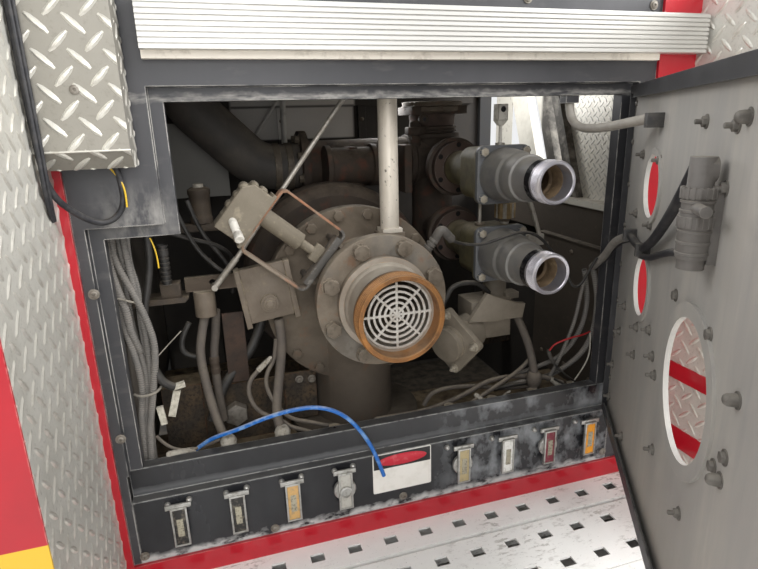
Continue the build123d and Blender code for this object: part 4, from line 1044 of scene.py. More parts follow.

# Inner walls: painted sheet under brown dust at the back and left, a pale painted field on the rear one
# behind the tank hose, and the right wall with its ledge; above the ledge, round the window, it is pale,
# which is painted daylight from the far side. Thin sheets close the frame above, below and at the right.
wall_mottle, wall_dust = (patches(12, share=0.7), "39332c", 0.8), (settled(0.8), "6f6557", 0.95)
wall_brown = finish("wall_brown", "2c2824", 0.75, layers=[
    wall_mottle, (patches(5, 0.5, 0.7, 0.6), "1d1b1a", 0.6), wall_dust], grain=(160, 0.5, 0.001), soft=0.002)
inner_face = within(band("Y", 0.8276, 0.8272), strip("X", -0.27, 0.1, 0.004))
rear_wall = finish("rear_wall", "2c2824", 0.75, layers=[
    wall_mottle, (within(inner_face, band("Z", 0.845, 0.85)), "c4c0ba", 0.6),
    (within(inner_face, strip("Z", 0.938, 0.944, 0.002)), "6d6a66", 0.6), wall_dust],
    grain=(160, 0.5, 0.001), soft=0.002)
dress(rear_wall, "rear_bulkhead")
partition_pale = finish("partition_pale", "6b655d", 0.7, layers=[
    (patches(9, 0.42, 0.68, 0.6), "544d45", 0.8), (band("X", -0.515, -0.475, 0.8, 0.01), "8f8d88", 0.6),
    (settled(0.8), "8a7f70", 0.95)], soft=0.002)
dress(partition_pale, "left_partition")
# Above the ledge, at Z 0.687, the wall goes pale: painted daylight from the far side.
right_wall_brown_painted_light = finish("right_wall_brown_painted_light", "4c443b", 0.65, layers=[
    (patches(9, 0.42, 0.68, 0.6, (1, 0.4, 1)), "3b342c", 0.75), (band("Z", 0.684, 0.687, 1.0), "d2cec2", 0.5),
    (patches(80, 0.6, 0.72, 0.5), "6d6252", 0.85), (settled(0.6, 0.6), "a79d8c", 0.9)],
    grain=(160, 0.3, 0.0008), soft=0.0015)
dress(right_wall_brown_painted_light, "side_partition")
rivet = turned([(0.006, 0), (0.0055, 0.0018), (0.0038, 0.003), (0.0012, 0.0035)], 14)
rivets = [at(x, 0.6, z, OUT) for x in (-0.505, -0.445) for z in (0.735, 0.788, 0.84, 0.89)]
rivets += [at(0.47, y, z, TO_LEFT) for y in (0.1, 0.2, 0.3) for z in (0.28, 0.575)]
rivets += [at(x, 0.814, z, OUT) for x in (-0.375, -0.125, 0.125, 0.375) for z in (0.3, 0.5, 0.7, 0.9, 1.02)]
fit(spread(rivet, rivets), "wall_rivets", worn_bolt_dark)
# The window posts are pale, painted daylight from the far side; nearer the panel, below Y 0.4, they are dark.
post_painted_daylight = finish("post_painted_daylight", "dcd8cc", 0.5, 0.2, layers=[
    (band("Y", 0.41, 0.4, 1.0), "4a463f", 0.6), (patches(30, 0.46, 0.7, 0.5), "b9b3a6", 0.6)])
dress(post_painted_daylight, "window_posts")
trims = [tile(0.312, tall, 0.002, place=at(0.566, -0.158, z, FACE_LEFT))
         for z, tall in ((0.209, 0.046), (0.357, 0.036))]
fit(joined(trims), "right_wall_trim", red_paint)


def closing(name, centre, size, material):
    """A thin sheet that closes the bay, its edges dulled."""
    bpy.ops.object.select_all(action="DESELECT")
    bpy.ops.mesh.primitive_cube_add(size=1, location=centre)
    made = bpy.context.object
    bpy.ops.transform.resize(value=size)
    bpy.ops.object.transform_apply(location=True, scale=True)
    pick(made, lambda spot, way: True)
    bpy.ops.mesh.bevel(offset=0.0005, segments=1, affect="EDGES")
    leave_edit()
    return fit(made, name, material)


closing("top_sheet", (0.0, 0.4265, 1.101), (1.056, 0.767, 0.002), wall_brown)
closing("floor_pan", (0.0, 0.412, 0.051), (1.034, 0.774, 0.002), wall_brown)
closing("right_side_sheet", (0.527, 0.4265, 0.3675), (0.002, 0.767, 0.635), wall_brown)
# The window's rear post is all in the pale part: painted daylight.
closing("window_rear_post", (0.529, 0.652, 0.8895), (0.002, 0.096, 0.381), right_wall_brown_painted_light)

# Struts on the rear wall: two pale painted tubes, one upright from the bay's floor and one leaning on
# it.
strut_white = finish("strut_white", "bdbab4", 0.55, layers=[(patches(40, 0.5, 0.68, 0.6), "8f8b84", 0.7)])
UPRIGHT_STRUT = [(-0.118, 0.79, 1.08), (-0.122, 0.79, 0.9), (-0.128, 0.79, 0.66), (-0.128, 0.79, 0.4)]
LEANING_STRUT = [(-0.108, 0.785, 1.0), (-0.15, 0.785, 0.94), (-0.205, 0.785, 0.865), (-0.235, 0.79, 0.825)]
struts = [hose("upright_strut", UPRIGHT_STRUT, 0.0085, strut_white)[0],
          hose("leaning_strut", LEANING_STRUT, 0.0045, strut_white)[0]]
fit(joined(struts), "rear_struts", strut_white, smooth=50)

# Hoses from the drains: rubber lines under brown dust, in knurled fittings, and small air lines that
# loop behind them. Those that cross run from one fitting to another.
DRAIN_HOSES = [
    (0.0085, [(-0.3655, 0.06, 0.285), (-0.37, 0.062, 0.3), (-0.379, 0.074, 0.325), (-0.3895, 0.09, 0.36),
              (-0.3987, 0.11, 0.413), (-0.4047, 0.128, 0.466), (-0.3987, 0.14, 0.503),
              (-0.388, 0.15, 0.537)]),
    (0.0085, [(-0.366, 0.16, 0.545), (-0.3713, 0.17, 0.496), (-0.3796, 0.165, 0.456), (-0.3805, 0.16, 0.413),
              (-0.3785, 0.16, 0.36), (-0.374, 0.15, 0.31)]),
    (0.0095, [(-0.264, 0.06, 0.285), (-0.2667, 0.062, 0.3), (-0.2744, 0.084, 0.341), (-0.2643, 0.108, 0.3815),
              (-0.2521, 0.124, 0.435), (-0.2454, 0.13, 0.485), (-0.25, 0.13, 0.522)]),
    (0.0044, [(-0.272, 0.121, 0.443), (-0.276, 0.12, 0.439), (-0.3003, 0.112, 0.4255), (-0.3182, 0.104, 0.41),
              (-0.3227, 0.098, 0.388), (-0.3157, 0.092, 0.3624), (-0.301, 0.088, 0.345),
              (-0.2867, 0.086, 0.337), (-0.262, 0.084, 0.322), (-0.2496, 0.076, 0.311),
              (-0.2235, 0.07, 0.302), (-0.1972, 0.064, 0.29), (-0.172, 0.06, 0.28)]),
    (0.0042, [(-0.258, 0.128, 0.48), (-0.2619, 0.13, 0.4525), (-0.2659, 0.126, 0.436), (-0.283, 0.116, 0.416),
              (-0.2876, 0.108, 0.394), (-0.279, 0.098, 0.367), (-0.2619, 0.09, 0.34), (-0.2433, 0.09, 0.3195),
              (-0.2071, 0.084, 0.309), (-0.1667, 0.08, 0.293), (-0.1245, 0.08, 0.286), (-0.08, 0.08, 0.284)]),
    (0.0048, [(0.0949, 0.06, 0.277), (0.1203, 0.064, 0.287), (0.1682, 0.076, 0.301), (0.2196, 0.088, 0.316),
              (0.2709, 0.098, 0.333), (0.3033, 0.104, 0.3524), (0.318, 0.108, 0.366)]),
    (0.0054, [(-0.07, 0.09, 0.284), (-0.0308, 0.092, 0.282), (-0.0119, 0.094, 0.2817), (0.035, 0.096, 0.279),
              (0.0966, 0.096, 0.289), (0.1531, 0.098, 0.305), (0.1897, 0.104, 0.318), (0.2314, 0.11, 0.321),
              (0.2793, 0.11, 0.318), (0.326, 0.098, 0.315), (0.352, 0.086, 0.311), (0.378, 0.072, 0.301)]),
    (0.005, [(0.05, 0.11, 0.285), (0.0594, 0.112, 0.303), (0.0779, 0.114, 0.313), (0.1162, 0.116, 0.3154),
             (0.173, 0.116, 0.309), (0.2258, 0.112, 0.2956), (0.2624, 0.108, 0.291), (0.3087, 0.104, 0.291)]),
    (0.009, [(0.274, 0.145, 0.494), (0.281, 0.128, 0.464), (0.293, 0.108, 0.424), (0.302, 0.09, 0.38),
             (0.304, 0.076, 0.334)]),
    (0.003, [(-0.4942, 0.062, 0.349), (-0.481, 0.06, 0.3265), (-0.4512, 0.056, 0.312),
             (-0.4181, 0.058, 0.312), (-0.395, 0.064, 0.3148), (-0.3648, 0.08, 0.3133)]),
]
hose_dusty = finish("hose_dusty", "57504a", 0.75, layers=[
    (patches(30, share=0.7), "6d6459", 0.85), (patches(120, 0.56, 0.7, 0.5), "403b36", 0.7),
    (settled(0.85), "968b7b", 0.95)], grain=(500, 0.3, 0.0005))
hose_dark = finish("hose_dark", "242220", 0.5, layers=[
    (patches(40, share=0.6), "45423f", 0.7), (settled(0.8), "7d766b", 0.9)], grain=(500, 0.3, 0.0005))


def lined(routes, name, material, body="module", stands_for=()):
    """Hoses or wires of one kind, each (radius, route), as one piece."""
    runs = [hose(f"{name}_{i}", route, radius, material, 4)[0] for i, (radius, route) in enumerate(routes)]
    return fit(joined(runs), name, material, body, 50, stands_for)


lined(DRAIN_HOSES, "drain_lines", hose_dusty, stands_for=("drain_hoses",))
LOOPS = [
    (0.01, [(-0.27, 0.195, 0.525), (-0.2764, 0.2, 0.503), (-0.2836, 0.195, 0.484), (-0.305, 0.185, 0.4414),
            (-0.3421, 0.175, 0.409), (-0.3749, 0.165, 0.369), (-0.3988, 0.16, 0.31)]),
    (0.0052, [(-0.4173, 0.15, 0.53), (-0.4345, 0.148, 0.503), (-0.437, 0.146, 0.476),
              (-0.4239, 0.146, 0.4614), (-0.4056, 0.146, 0.4585)]),
    (0.0062, [(-0.464, 0.096, 0.76), (-0.4643, 0.096, 0.709), (-0.4651, 0.094, 0.666), (-0.4737, 0.09, 0.624),
              (-0.4855, 0.084, 0.582), (-0.4874, 0.078, 0.5405), (-0.486, 0.072, 0.51)]),
    (0.0055, [(0.095, 0.13, 0.49), (0.1123, 0.13, 0.526), (0.1239, 0.13, 0.545), (0.1473, 0.13, 0.551),
              (0.1759, 0.13, 0.55), (0.1953, 0.13, 0.541), (0.215, 0.135, 0.52)]),
    (0.0045, [(0.225, 0.115, 0.29), (0.2471, 0.096, 0.307), (0.3058, 0.1, 0.3), (0.3569, 0.1, 0.31),
              (0.395, 0.092, 0.33)]),
    (0.004, [(-0.46, 0.14, 0.72), (-0.4, 0.16, 0.69), (-0.345, 0.18, 0.67), (-0.315, 0.2, 0.63),
             (-0.33, 0.22, 0.56)]),
    (0.0038, [(-0.415, 0.15, 0.745), (-0.398, 0.15, 0.69), (-0.365, 0.15, 0.64), (-0.335, 0.15, 0.615)]),
    (0.0042, [(-0.395, 0.175, 0.76), (-0.38, 0.178, 0.7), (-0.345, 0.18, 0.65), (-0.32, 0.182, 0.6)]),
]
lined(LOOPS, "air_lines", hose_dark)
fitting_profile = [(0.01, -0.004), (0.0125, -0.003), (0.0125, 0.006), (0.0145, 0.007), (0.0145, 0.02),
                   (0.0125, 0.021), (0.0122, 0.03)]
fit(spread(turned(fitting_profile, 14), [at(x, 0.06, 0.274) for x in PULL_X[1:]]), "neck_fittings", valve_tan)
knurled = turned([(0.0095, 0.05), (0.0125, 0.048), (0.016, 0.043), (0.0172, 0.037), (0.016, 0.036),
                  (0.0172, 0.031), (0.016, 0.03), (0.0165, 0.025), (0.014, 0.019)], 20)
hexagon = turned([(0.0122, -0.012), (0.0165, -0.01), (0.0165, 0.006), (0.0135, 0.008), (0.0135, 0.02)], 6)
large_fitting = joined([knurled, hexagon])
large_fitting.matrix_world = at(0.304, 0.076, 0.29)
fit(large_fitting, "knurled_fitting", hose_dusty)
tape_pale = finish("tape_pale", "a39c8f", 0.8, layers=[
    (patches(60, 0.42, 0.62, 0.8), "bdb7ab", 0.85), (patches(140, 0.52, 0.66, 0.8), "7d7466", 0.9)],
    grain=(240, 0.9, 0.003))
# Tape wound round the ends of four hoses, thinner towards its tip: foot, tip, radius at the foot
TAPES = [((-0.432, 0.06, 0.304), (-0.48, 0.046, 0.3165), 0.0088),
         ((0.1925, 0.058, 0.274), (0.158, 0.08, 0.309), 0.0076),
         ((0.3975, 0.058, 0.272), (0.352, 0.086, 0.312), 0.0092),
         ((-0.3003, 0.112, 0.4255), (-0.27, 0.122, 0.447), 0.0056)]
WINDINGS = 12
tapes = []
for foot, tip, wide in TAPES:
    foot, tip = Vector(foot), Vector(tip)
    long = (tip - foot).length
    windings = [(wide * (1 - 0.4 * (i / WINDINGS) ** 2) + 0.0004 * (i % 2), long * i / WINDINGS)
                for i in range(1, WINDINGS)]
    tapes.append(turned([(wide * 0.9, 0), (wide, 0.001)] + windings
                        + [(wide * 0.5, long - 0.001), (wide * 0.4, long)], 16, toward(foot, tip)))
fit(joined(tapes), "taped_sleeves", tape_pale)
TAPED_CURL = [(0.2219, 0.072, 0.272), (0.224, 0.075, 0.288), (0.234, 0.08, 0.296), (0.2484, 0.084, 0.297)]
lined([(0.0026, TAPED_CURL)], "taped_ends", tape_pale)
neck_collar = turned([(0.01, -0.018), (0.0145, -0.014), (0.0165, -0.004), (0.015, 0.004), (0.016, 0.01),
                      (0.012, 0.018), (0.009, 0.021)], 18)
fit(spread(neck_collar, [at(x, 0.062, 0.303) for x in (-0.3695, -0.2665)]), "neck_collars", tape_pale)
crimp = turned([(0.0088, 0), (0.0102, 0.001), (0.0102, 0.012), (0.0092, 0.013), (0.0092, 0.022),
                (0.0102, 0.023), (0.0102, 0.034), (0.0088, 0.036)], 14, at(-0.3803, 0.162, 0.412))
fit(crimp, "hose_crimps", cast_brown)

# Behind the looms: a small relay on a steel shelf from the left wall, under a coiled lead. Both are
# brown with dust.
relay_brown = finish("relay_brown", "3d342b", 0.7, layers=[
    (patches(30, share=0.7), "55493b", 0.85), (settled(0.8), "8a7d6b", 0.95)], grain=(260, 0.4, 0.001))
relay = tile(0.036, 0.03, 0.024, 0.003, 0.001, at(-0.441, 0.128, 0.601))
shelf = tile(0.117, 0.004, 0.06, place=at(-0.4695, 0.122, 0.584))
fit(joined([relay, shelf]), "relay_box", relay_brown)

# Behind the actuator: a small canister with a pale cap on a beam from the left wall, and a brown steel
# plate that stands upright on the crossmember.
CANISTER_X, CANISTER_Y = -0.3738, 0.26
canister = turned([(0.0221, 0.001), (0.0221, 0.012), (0.0205, 0.014), (0.0205, 0.0563), (0.0221, 0.0583),
                   (0.0221, 0.0683), (0.0154, 0.0723)], 28, at(CANISTER_X, CANISTER_Y, 0.7024))
beam = tile(0.235, 0.016, 0.034, place=at(-0.411, 0.243, 0.6944))
fit(joined([canister, beam]), "wall_canister", relay_brown)
fit(turned([(0.0105, 0), (0.0105, 0.006), (0.009, 0.0075)], 18, at(CANISTER_X, CANISTER_Y, 0.7747)),
    "canister_cap", tape_pale)
plate_rust = finish("plate_rust", "3b3029", 0.85, layers=[
    (patches(24, share=0.8), "4c392e", 0.85), (patches(60, 0.52, 0.68, 0.6), "2f2823", 0.9)],
    grain=(260, 0.6, 0.001))
fit(tile(0.0414, 0.1501, 0.004, place=at(-0.3356, 0.165, 0.4591)), "rusty_plate", plate_rust)

# Wiring: looms in corrugated sleeve down the left side and by the hinge, grey, lighter on top with dust
# and a painted highlight. One ring is repeated and bent along each route.
sleeve_pale = finish("sleeve_pale", "c9c4b6", 0.6, layers=[
    (patches(90, 0.45, 0.62, 0.7), "8d8675", 0.7), (edges(0.001, 0.7), "e3dfd4", 0.5)])
# Their upper sides are lighter over a wide angle: partly dust, partly a painted highlight.
loom_grey_dust_and_highlight = finish("loom_grey_dust_and_highlight", "73706c", 0.7, layers=[
    (patches(30, share=0.7), "7e7973", 0.85), (settled(0.9, 0.1, 0.8), "a29a8f", 0.95)])


def corrugated(name, route, radius, pitch=0.005):
    """A ribbed sleeve along a route: one ring, repeated to the curve's length and bent along it."""
    path = line(route, name + "_path")
    bpy.ops.object.select_all(action="DESELECT")
    bpy.ops.mesh.primitive_circle_add(vertices=12, radius=radius, fill_type="NOTHING")
    ring = bpy.context.object
    bpy.ops.object.mode_set(mode="EDIT")
    bpy.ops.mesh.select_mode(type="VERT")
    bpy.ops.mesh.select_all(action="SELECT")
    for grow, rise in ((1.0, 0.42), (0.84, 0.08), (1.0, 0.42), (1 / 0.84, 0.08)):
        bpy.ops.mesh.extrude_region_move(TRANSFORM_OT_translate={"value": (0, 0, pitch * rise)})
        bpy.ops.transform.resize(value=(grow, grow, 1))
    leave_edit()
    repeat = ring.modifiers.new("repeat", "ARRAY")
    repeat.fit_type = "FIT_CURVE"
    repeat.curve = path
    repeat.use_relative_offset = False
    repeat.use_constant_offset = True
    repeat.constant_offset_displace = (0, 0, pitch)
    repeat.use_merge_vertices = True
    bend = ring.modifiers.new("bend", "CURVE")
    bend.object = path
    bend.deform_axis = "POS_Z"
    only(ring)
    bpy.ops.object.modifier_apply(modifier="repeat")
    bpy.ops.object.modifier_apply(modifier="bend")
    bpy.data.objects.remove(path)
    return ring


LEFT_LOOMS = [
    (0.0062, [(-0.527, 0.062, 0.8), (-0.5228, 0.062, 0.7175), (-0.5243, 0.06, 0.677), (-0.5175, 0.058, 0.635),
              (-0.5088, 0.06, 0.593), (-0.5093, 0.064, 0.554), (-0.4998, 0.07, 0.517)]),
    (0.006, [(-0.52, 0.07, 0.8), (-0.5173, 0.07, 0.7155), (-0.516, 0.068, 0.681), (-0.5023, 0.064, 0.6416),
             (-0.4885, 0.062, 0.604), (-0.4799, 0.062, 0.57), (-0.4731, 0.06, 0.532), (-0.4764, 0.058, 0.494),
             (-0.4863, 0.058, 0.4446), (-0.4964, 0.06, 0.396), (-0.505, 0.062, 0.356),
             (-0.51, 0.062, 0.262)]),
    (0.006, [(-0.524, 0.074, 0.74), (-0.524, 0.074, 0.678), (-0.524, 0.072, 0.63), (-0.521, 0.068, 0.585),
             (-0.5175, 0.066, 0.555), (-0.5104, 0.066, 0.519), (-0.5054, 0.064, 0.484),
             (-0.5039, 0.062, 0.446), (-0.5095, 0.062, 0.4145), (-0.516, 0.064, 0.378),
             (-0.52, 0.066, 0.262)]),
    (0.0058, [(-0.508, 0.084, 0.8), (-0.5067, 0.084, 0.66), (-0.5085, 0.08, 0.575), (-0.504, 0.076, 0.527),
              (-0.499, 0.072, 0.504), (-0.495, 0.068, 0.473), (-0.4985, 0.066, 0.4395),
              (-0.505, 0.066, 0.396), (-0.511, 0.068, 0.355), (-0.515, 0.07, 0.262)]),
    (0.0058, [(-0.503, 0.076, 0.8), (-0.4971, 0.074, 0.642), (-0.4887, 0.072, 0.586), (-0.4867, 0.07, 0.549),
              (-0.487, 0.068, 0.5035), (-0.489, 0.066, 0.459), (-0.4975, 0.068, 0.401), (-0.504, 0.072, 0.34),
              (-0.507, 0.074, 0.262)]),
    (0.0052, [(-0.495, 0.09, 0.8), (-0.4954, 0.09, 0.71), (-0.4979, 0.09, 0.6705), (-0.4886, 0.086, 0.62),
              (-0.4933, 0.082, 0.584), (-0.493, 0.078, 0.5356), (-0.492, 0.074, 0.49), (-0.5, 0.074, 0.42),
              (-0.508, 0.076, 0.34), (-0.503, 0.08, 0.262)]),
]
RIGHT_LOOMS = [
    (0.0062, [(0.2471, 0.104, 0.3), (0.3058, 0.108, 0.304), (0.3569, 0.102, 0.3066), (0.403, 0.09, 0.334),
              (0.4328, 0.078, 0.37), (0.446, 0.068, 0.417), (0.446, 0.062, 0.471), (0.441, 0.06, 0.52),
              (0.424, 0.057, 0.57)]),
    (0.0055, [(0.288, 0.122, 0.316), (0.345, 0.116, 0.331), (0.383, 0.1, 0.352), (0.412, 0.084, 0.398),
              (0.428, 0.076, 0.455), (0.426, 0.072, 0.52), (0.411, 0.07, 0.566)]),
    (0.0042, [(0.352, 0.096, 0.3), (0.37, 0.092, 0.335), (0.386, 0.08, 0.398), (0.396, 0.068, 0.456),
              (0.3975, 0.06, 0.512), (0.403, 0.056, 0.55), (0.405, 0.055, 0.568)]),
]
sleeves = [corrugated(f"loom_{i}", route, radius, 0.0042) for i, (radius, route) in enumerate(LEFT_LOOMS)]
sleeves += [corrugated(f"right_loom_{i}", route, radius) for i, (radius, route) in enumerate(RIGHT_LOOMS)]
fit(joined(sleeves), "wiring_looms", loom_grey_dust_and_highlight, stands_for=("wire_looms",))

# Ties round the looms, and the loose connectors that hang from them: pale plastic housings on a short
# dark sleeve, unplugged.
tie_grey = finish("tie_grey", "8f897e", 0.7, layers=[(patches(90, 0.45, 0.62, 0.7), "6b655b", 0.8)])
LOOM_TIES = [
    (0.0018, [(-0.526, 0.066, 0.618), (-0.52, 0.053, 0.6195), (-0.508, 0.0505, 0.616), (-0.494, 0.058, 0.607),
              (-0.492, 0.072, 0.603)]),
    (0.0024, [(-0.519, 0.062, 0.438), (-0.511, 0.051, 0.437), (-0.494, 0.048, 0.438), (-0.479, 0.052, 0.441),
              (-0.474, 0.064, 0.444)]),
    (0.0011, [(-0.48, 0.06, 0.497), (-0.4717, 0.06, 0.504), (-0.4495, 0.07, 0.523), (-0.4289, 0.08, 0.539)]),
]
lined(LOOM_TIES, "loom_ties", tie_grey)
CONNECTOR_SLEEVE = [(-0.48, 0.062, 0.48), (-0.4722, 0.06, 0.457), (-0.4588, 0.062, 0.444),
                    (-0.4526, 0.064, 0.44)]
lined([(0.0075, CONNECTOR_SLEEVE)], "connector_sleeve", hose_dark)
# Loose connectors: foot, tip, width, depth
PLUGS = [((-0.4487, 0.064, 0.43), (-0.463, 0.06, 0.3832), 0.013, 0.011),
         ((-0.4815, 0.058, 0.406), (-0.4771, 0.056, 0.3716), 0.011, 0.009),
         ((-0.456, 0.062, 0.437), (-0.433, 0.066, 0.44), 0.01, 0.008)]
plugs = []
for foot, tip, wide, deep in PLUGS:
    foot, tip = Vector(foot), Vector(tip)
    lean = Vector((0, 0, -1)).rotation_difference((tip - foot).normalized()).to_matrix().to_4x4()
    plugs.append(tile(wide, (tip - foot).length, deep, 0.002, 0.0015, at(*(foot + tip) / 2, lean)))
fit(joined(plugs), "loose_connectors", sleeve_pale)
COILED_LEAD = [(-0.4441, 0.125, 0.69), (-0.4441, 0.125, 0.66), (-0.4445, 0.125, 0.622)]
coiled = corrugated("coiled_lead", COILED_LEAD, 0.0092, 0.0082)
fit(coiled, "coiled_lead", hose_dark, smooth=50)

# Box cable: three taped strands down the left of the corner box and a loop under it, ending in a yellow
# wire, and a second yellow wire inside the doorway.
BOX_CABLE = [(-0.562, -0.084, 1.112), (-0.562, -0.084, 0.85), (-0.556, -0.072, 0.806), (-0.54, -0.045, 0.779),
             (-0.518, -0.018, 0.757), (-0.496, -0.011, 0.758), (-0.478, -0.01, 0.778),
             (-0.476, -0.012, 0.812), (-0.48, -0.014, 0.837)]
cable_black = finish("cable_black", "232327", 0.55, layers=[
    (patches(60, 0.46, 0.66, 0.6), "4c4a49", 0.7), (settled(0.7), "77726a", 0.9)], grain=(300, 0.4, 0.0008))
strands = [(0.003, [(x + dx, y + dy, z) for x, y, z in BOX_CABLE[:2]]
            + [(-0.5645 + dx, -0.079 + dy, 0.8), (-0.565, -0.05 + dy, 0.77)])
           for dx, dy in ((0.006, 0.001), (0.003, -0.005))]
lined([(0.0045, BOX_CABLE)] + strands, "box_cables", cable_black,
      stands_for=("box_cable",))
wire_yellow = finish("wire_yellow", "d9b32c", 0.45, layers=[(patches(90, 0.5, 0.66, 0.4), "a3915c", 0.6)])
lined([(0.0014, [(-0.49, -0.013, 0.838), (-0.479, -0.015, 0.824), (-0.4715, -0.0155, 0.803),
                 (-0.4735, -0.0155, 0.778)]),
       (0.0012, [(-0.453, 0.03, 0.721), (-0.445, 0.03, 0.7), (-0.446, 0.03, 0.67)])],
      "yellow_wires", wire_yellow)

# Sensor line: thin black nylon that runs past the outlets, from a dusty elbow on a ribbed socket in the
# intake flange's edge.
stud_dusty = finish("stud_dusty", "55514c", 0.6, layers=[
    (patches(60, 0.45, 0.66, 0.7), "403d3a", 0.7), (settled(0.6), "857e73", 0.9)], grain=(300, 0.3, 0.0005))
SENSOR_LINE = [(0.068, 0.033, 0.68), (0.078, 0.038, 0.672), (0.089, 0.048, 0.664), (0.117, 0.06, 0.653),
               (0.155, 0.056, 0.649), (0.19, 0.04, 0.664), (0.222, 0.03, 0.675), (0.25, 0.023, 0.671),
               (0.275, 0.024, 0.653), (0.299, 0.03, 0.628), (0.3265, 0.034, 0.6), (0.3457, 0.036, 0.565),
               (0.3552, 0.03, 0.546), (0.3708, 0.028, 0.547), (0.3865, 0.026, 0.575), (0.404, 0.024, 0.606)]
ELBOW = [(0.045, 0.036, 0.674), (0.05, 0.031, 0.688), (0.058, 0.029, 0.693), (0.07, 0.033, 0.68),
         (0.08, 0.039, 0.671)]
SOCKET_FOOT, SOCKET_END = Vector((0.031, 0.04, 0.656)), Vector((0.0455, 0.035, 0.6755))
sensor_run = hose("sensor_run", SENSOR_LINE, 0.0031, hose_dark, 4)[0]
elbow = hose("elbow", ELBOW, 0.0088, stud_dusty)[0]
socket = turned([(0.0088, 0), (0.0095, 0.001), (0.0095, 0.005), (0.0078, 0.006), (0.0078, 0.0085),
                 (0.0095, 0.0095), (0.0095, 0.0135), (0.0078, 0.0145), (0.0078, 0.017), (0.0095, 0.018),
                 (0.0095, 0.022), (0.0075, 0.024)], 18, toward(SOCKET_FOOT, SOCKET_END))
socket.data.materials.append(stud_dusty)
fit(joined([sensor_run, elbow, socket]), "sensor_tube", None, smooth=50,
    stands_for=("sensor_line",))

# Loose wires by the hinge: one red with a dark splice, two dark and one pale. They are thin plastic, and
# come out of the looms.
wire_red = finish("wire_red", "b8262a", 0.45, layers=[(patches(90, 0.5, 0.66, 0.5), "7a3a33", 0.6)])
RED_WIRE = [(0.4359, 0.066, 0.4216), (0.4163, 0.064, 0.4167), (0.3902, 0.064, 0.4156), (0.3588, 0.07, 0.4064),
            (0.3443, 0.076, 0.3948), (0.3413, 0.08, 0.381)]
SPLICE = [(0.3403, 0.08, 0.384), (0.3425, 0.08, 0.3745), (0.3475, 0.079, 0.364), (0.3538, 0.078, 0.3521)]
DARK_WIRES = [
    (0.0022, [(0.352, 0.078, 0.355), (0.3724, 0.07, 0.3289), (0.3975, 0.062, 0.3095),
              (0.4262, 0.054, 0.286)]),
    (0.003, [(0.356, 0.074, 0.314), (0.379, 0.066, 0.299), (0.401, 0.058, 0.286)]),
]
PALE_WIRE = [(0.4359, 0.066, 0.4216), (0.4381, 0.06, 0.3785), (0.424, 0.062, 0.3352), (0.3908, 0.062, 0.296)]
lined([(0.0019, RED_WIRE)], "red_wire", wire_red)
lined([(0.0045, SPLICE)], "wire_splice", stud_dusty)
lined(DARK_WIRES, "hinge_wires", hose_dark)
lined([(0.0016, PALE_WIRE)], "pale_wire", sleeve_pale)

# Door: grey painted sheet with a black folded edge, rims round its holes, and the studs and nuts of what
# is fixed to its face. Everything here swings with it.
PIN_X, PIN_Y, OPEN_ANGLE = 0.449, -0.007, 59.0
SWING = at(PIN_X, PIN_Y, 0, Matrix.Rotation(math.radians(OPEN_ANGLE), 4, "Z")) @ at(-PIN_X, -PIN_Y, 0)
INWARD = Matrix.Rotation(-math.pi / 2, 4, "X")


def on_door(s, z, off=0.003, turn=INWARD):
    """A place on the door's inner face, from the hinge pin and from the ground."""
    return SWING @ at(PIN_X - s, off, z, turn)


door_grey = finish("door_grey", "a5a29d", 0.55, layers=[
    (patches(10, 0.42, 0.68, 0.6, (1, 1, 0.2)), "c0bab0", 0.7),
    (patches(60, 0.5, 0.7, 0.4, (1, 1, 0.1)), "9a9795", 0.6), (patches(5, 0.5, 0.72, 0.5), "a29e9c", 0.5),
    (band("Z", 0.46, 0.3, 0.5, 0.06), "a8a196", 0.8), (edges(0.003, 0.8), "bdb9b0", 0.6)],
    grain=(400, 0.2, 0.0004))
dress(door_grey, "door_skin", "door_hole_rims")
door_black = finish("door_black", "313134", 0.45, layers=[
    (patches(16, 0.42, 0.68, 0.6), "47474a", 0.6), (settled(0.6), "8a8883", 0.8),
    (edges(0.002, 0.9), "8a8883", 0.6)], soft=0.001)
dress(door_black, "door_edge")
stud_grey = finish("stud_grey", "77736d", 0.5, 0.3, layers=[
    (patches(80, 0.46, 0.66, 0.7), "5d5954", 0.7), (settled(0.6), "a39d92", 0.85)], soft=0.0008)
# From the hinge pin, and height
STUDS = [(0.456, 0.88), (0.558, 0.877), (0.55, 0.814), (0.126, 0.823), (0.253, 0.822), (0.117, 0.719),
         (0.237, 0.719), (0.075, 0.475), (0.101, 0.537), (0.219, 0.486), (0.344, 0.537), (0.035, 0.385),
         (0.034, 0.31), (0.406, 0.415), (0.194, 0.309), (0.551, 0.417), (0.22, 0.538), (0.185, 0.881),
         (0.308, 0.566), (0.368, 0.517)]
SHORT_STUDS = [(0.423, 0.659), (0.566, 0.659), (0.655, 0.564), (0.631, 0.538)]   # over the pump's flange
CAP_NUTS = [(0.585, 0.885), (0.662, 0.63), (0.652, 0.536)]
WASHER = [(0.0085, 0), (0.0085, 0.0015), (0.0083, 0.0015)]
stud = joined([turned(WASHER, 18), bolt(0.011, 0.006),
               turned([(0.003, 0.005), (0.003, 0.0125), (0.0022, 0.0133)], 10)])
short_stud = joined([turned(WASHER, 18), bolt(0.011, 0.0055)])
fit(joined([spread(stud, [on_door(*place) for place in STUDS]),
            spread(short_stud, [on_door(*place) for place in SHORT_STUDS])]),
    "door_studs", stud_grey, "door")
cap_nut = turned([(0.009, 0), (0.009, 0.0012), (0.0066, 0.0012), (0.0066, 0.006), (0.006, 0.01),
                  (0.0044, 0.0125), (0.0022, 0.0135), (0.0008, 0.0138)], 18)
fit(spread(cap_nut, [on_door(*place) for place in CAP_NUTS]), "door_cap_nuts", stud_grey, "door")
hinge_screws = [on_door(0.021, z) for z in (0.296, 0.348, 0.444, 0.523, 0.6, 0.68, 0.76, 0.84, 0.91)]
fit(spread(turned([(0.0055, 0), (0.005, 0.002), (0.003, 0.0032), (0.001, 0.0036)], 12), hinge_screws),
    "hinge_rivets", stud_grey, "door")

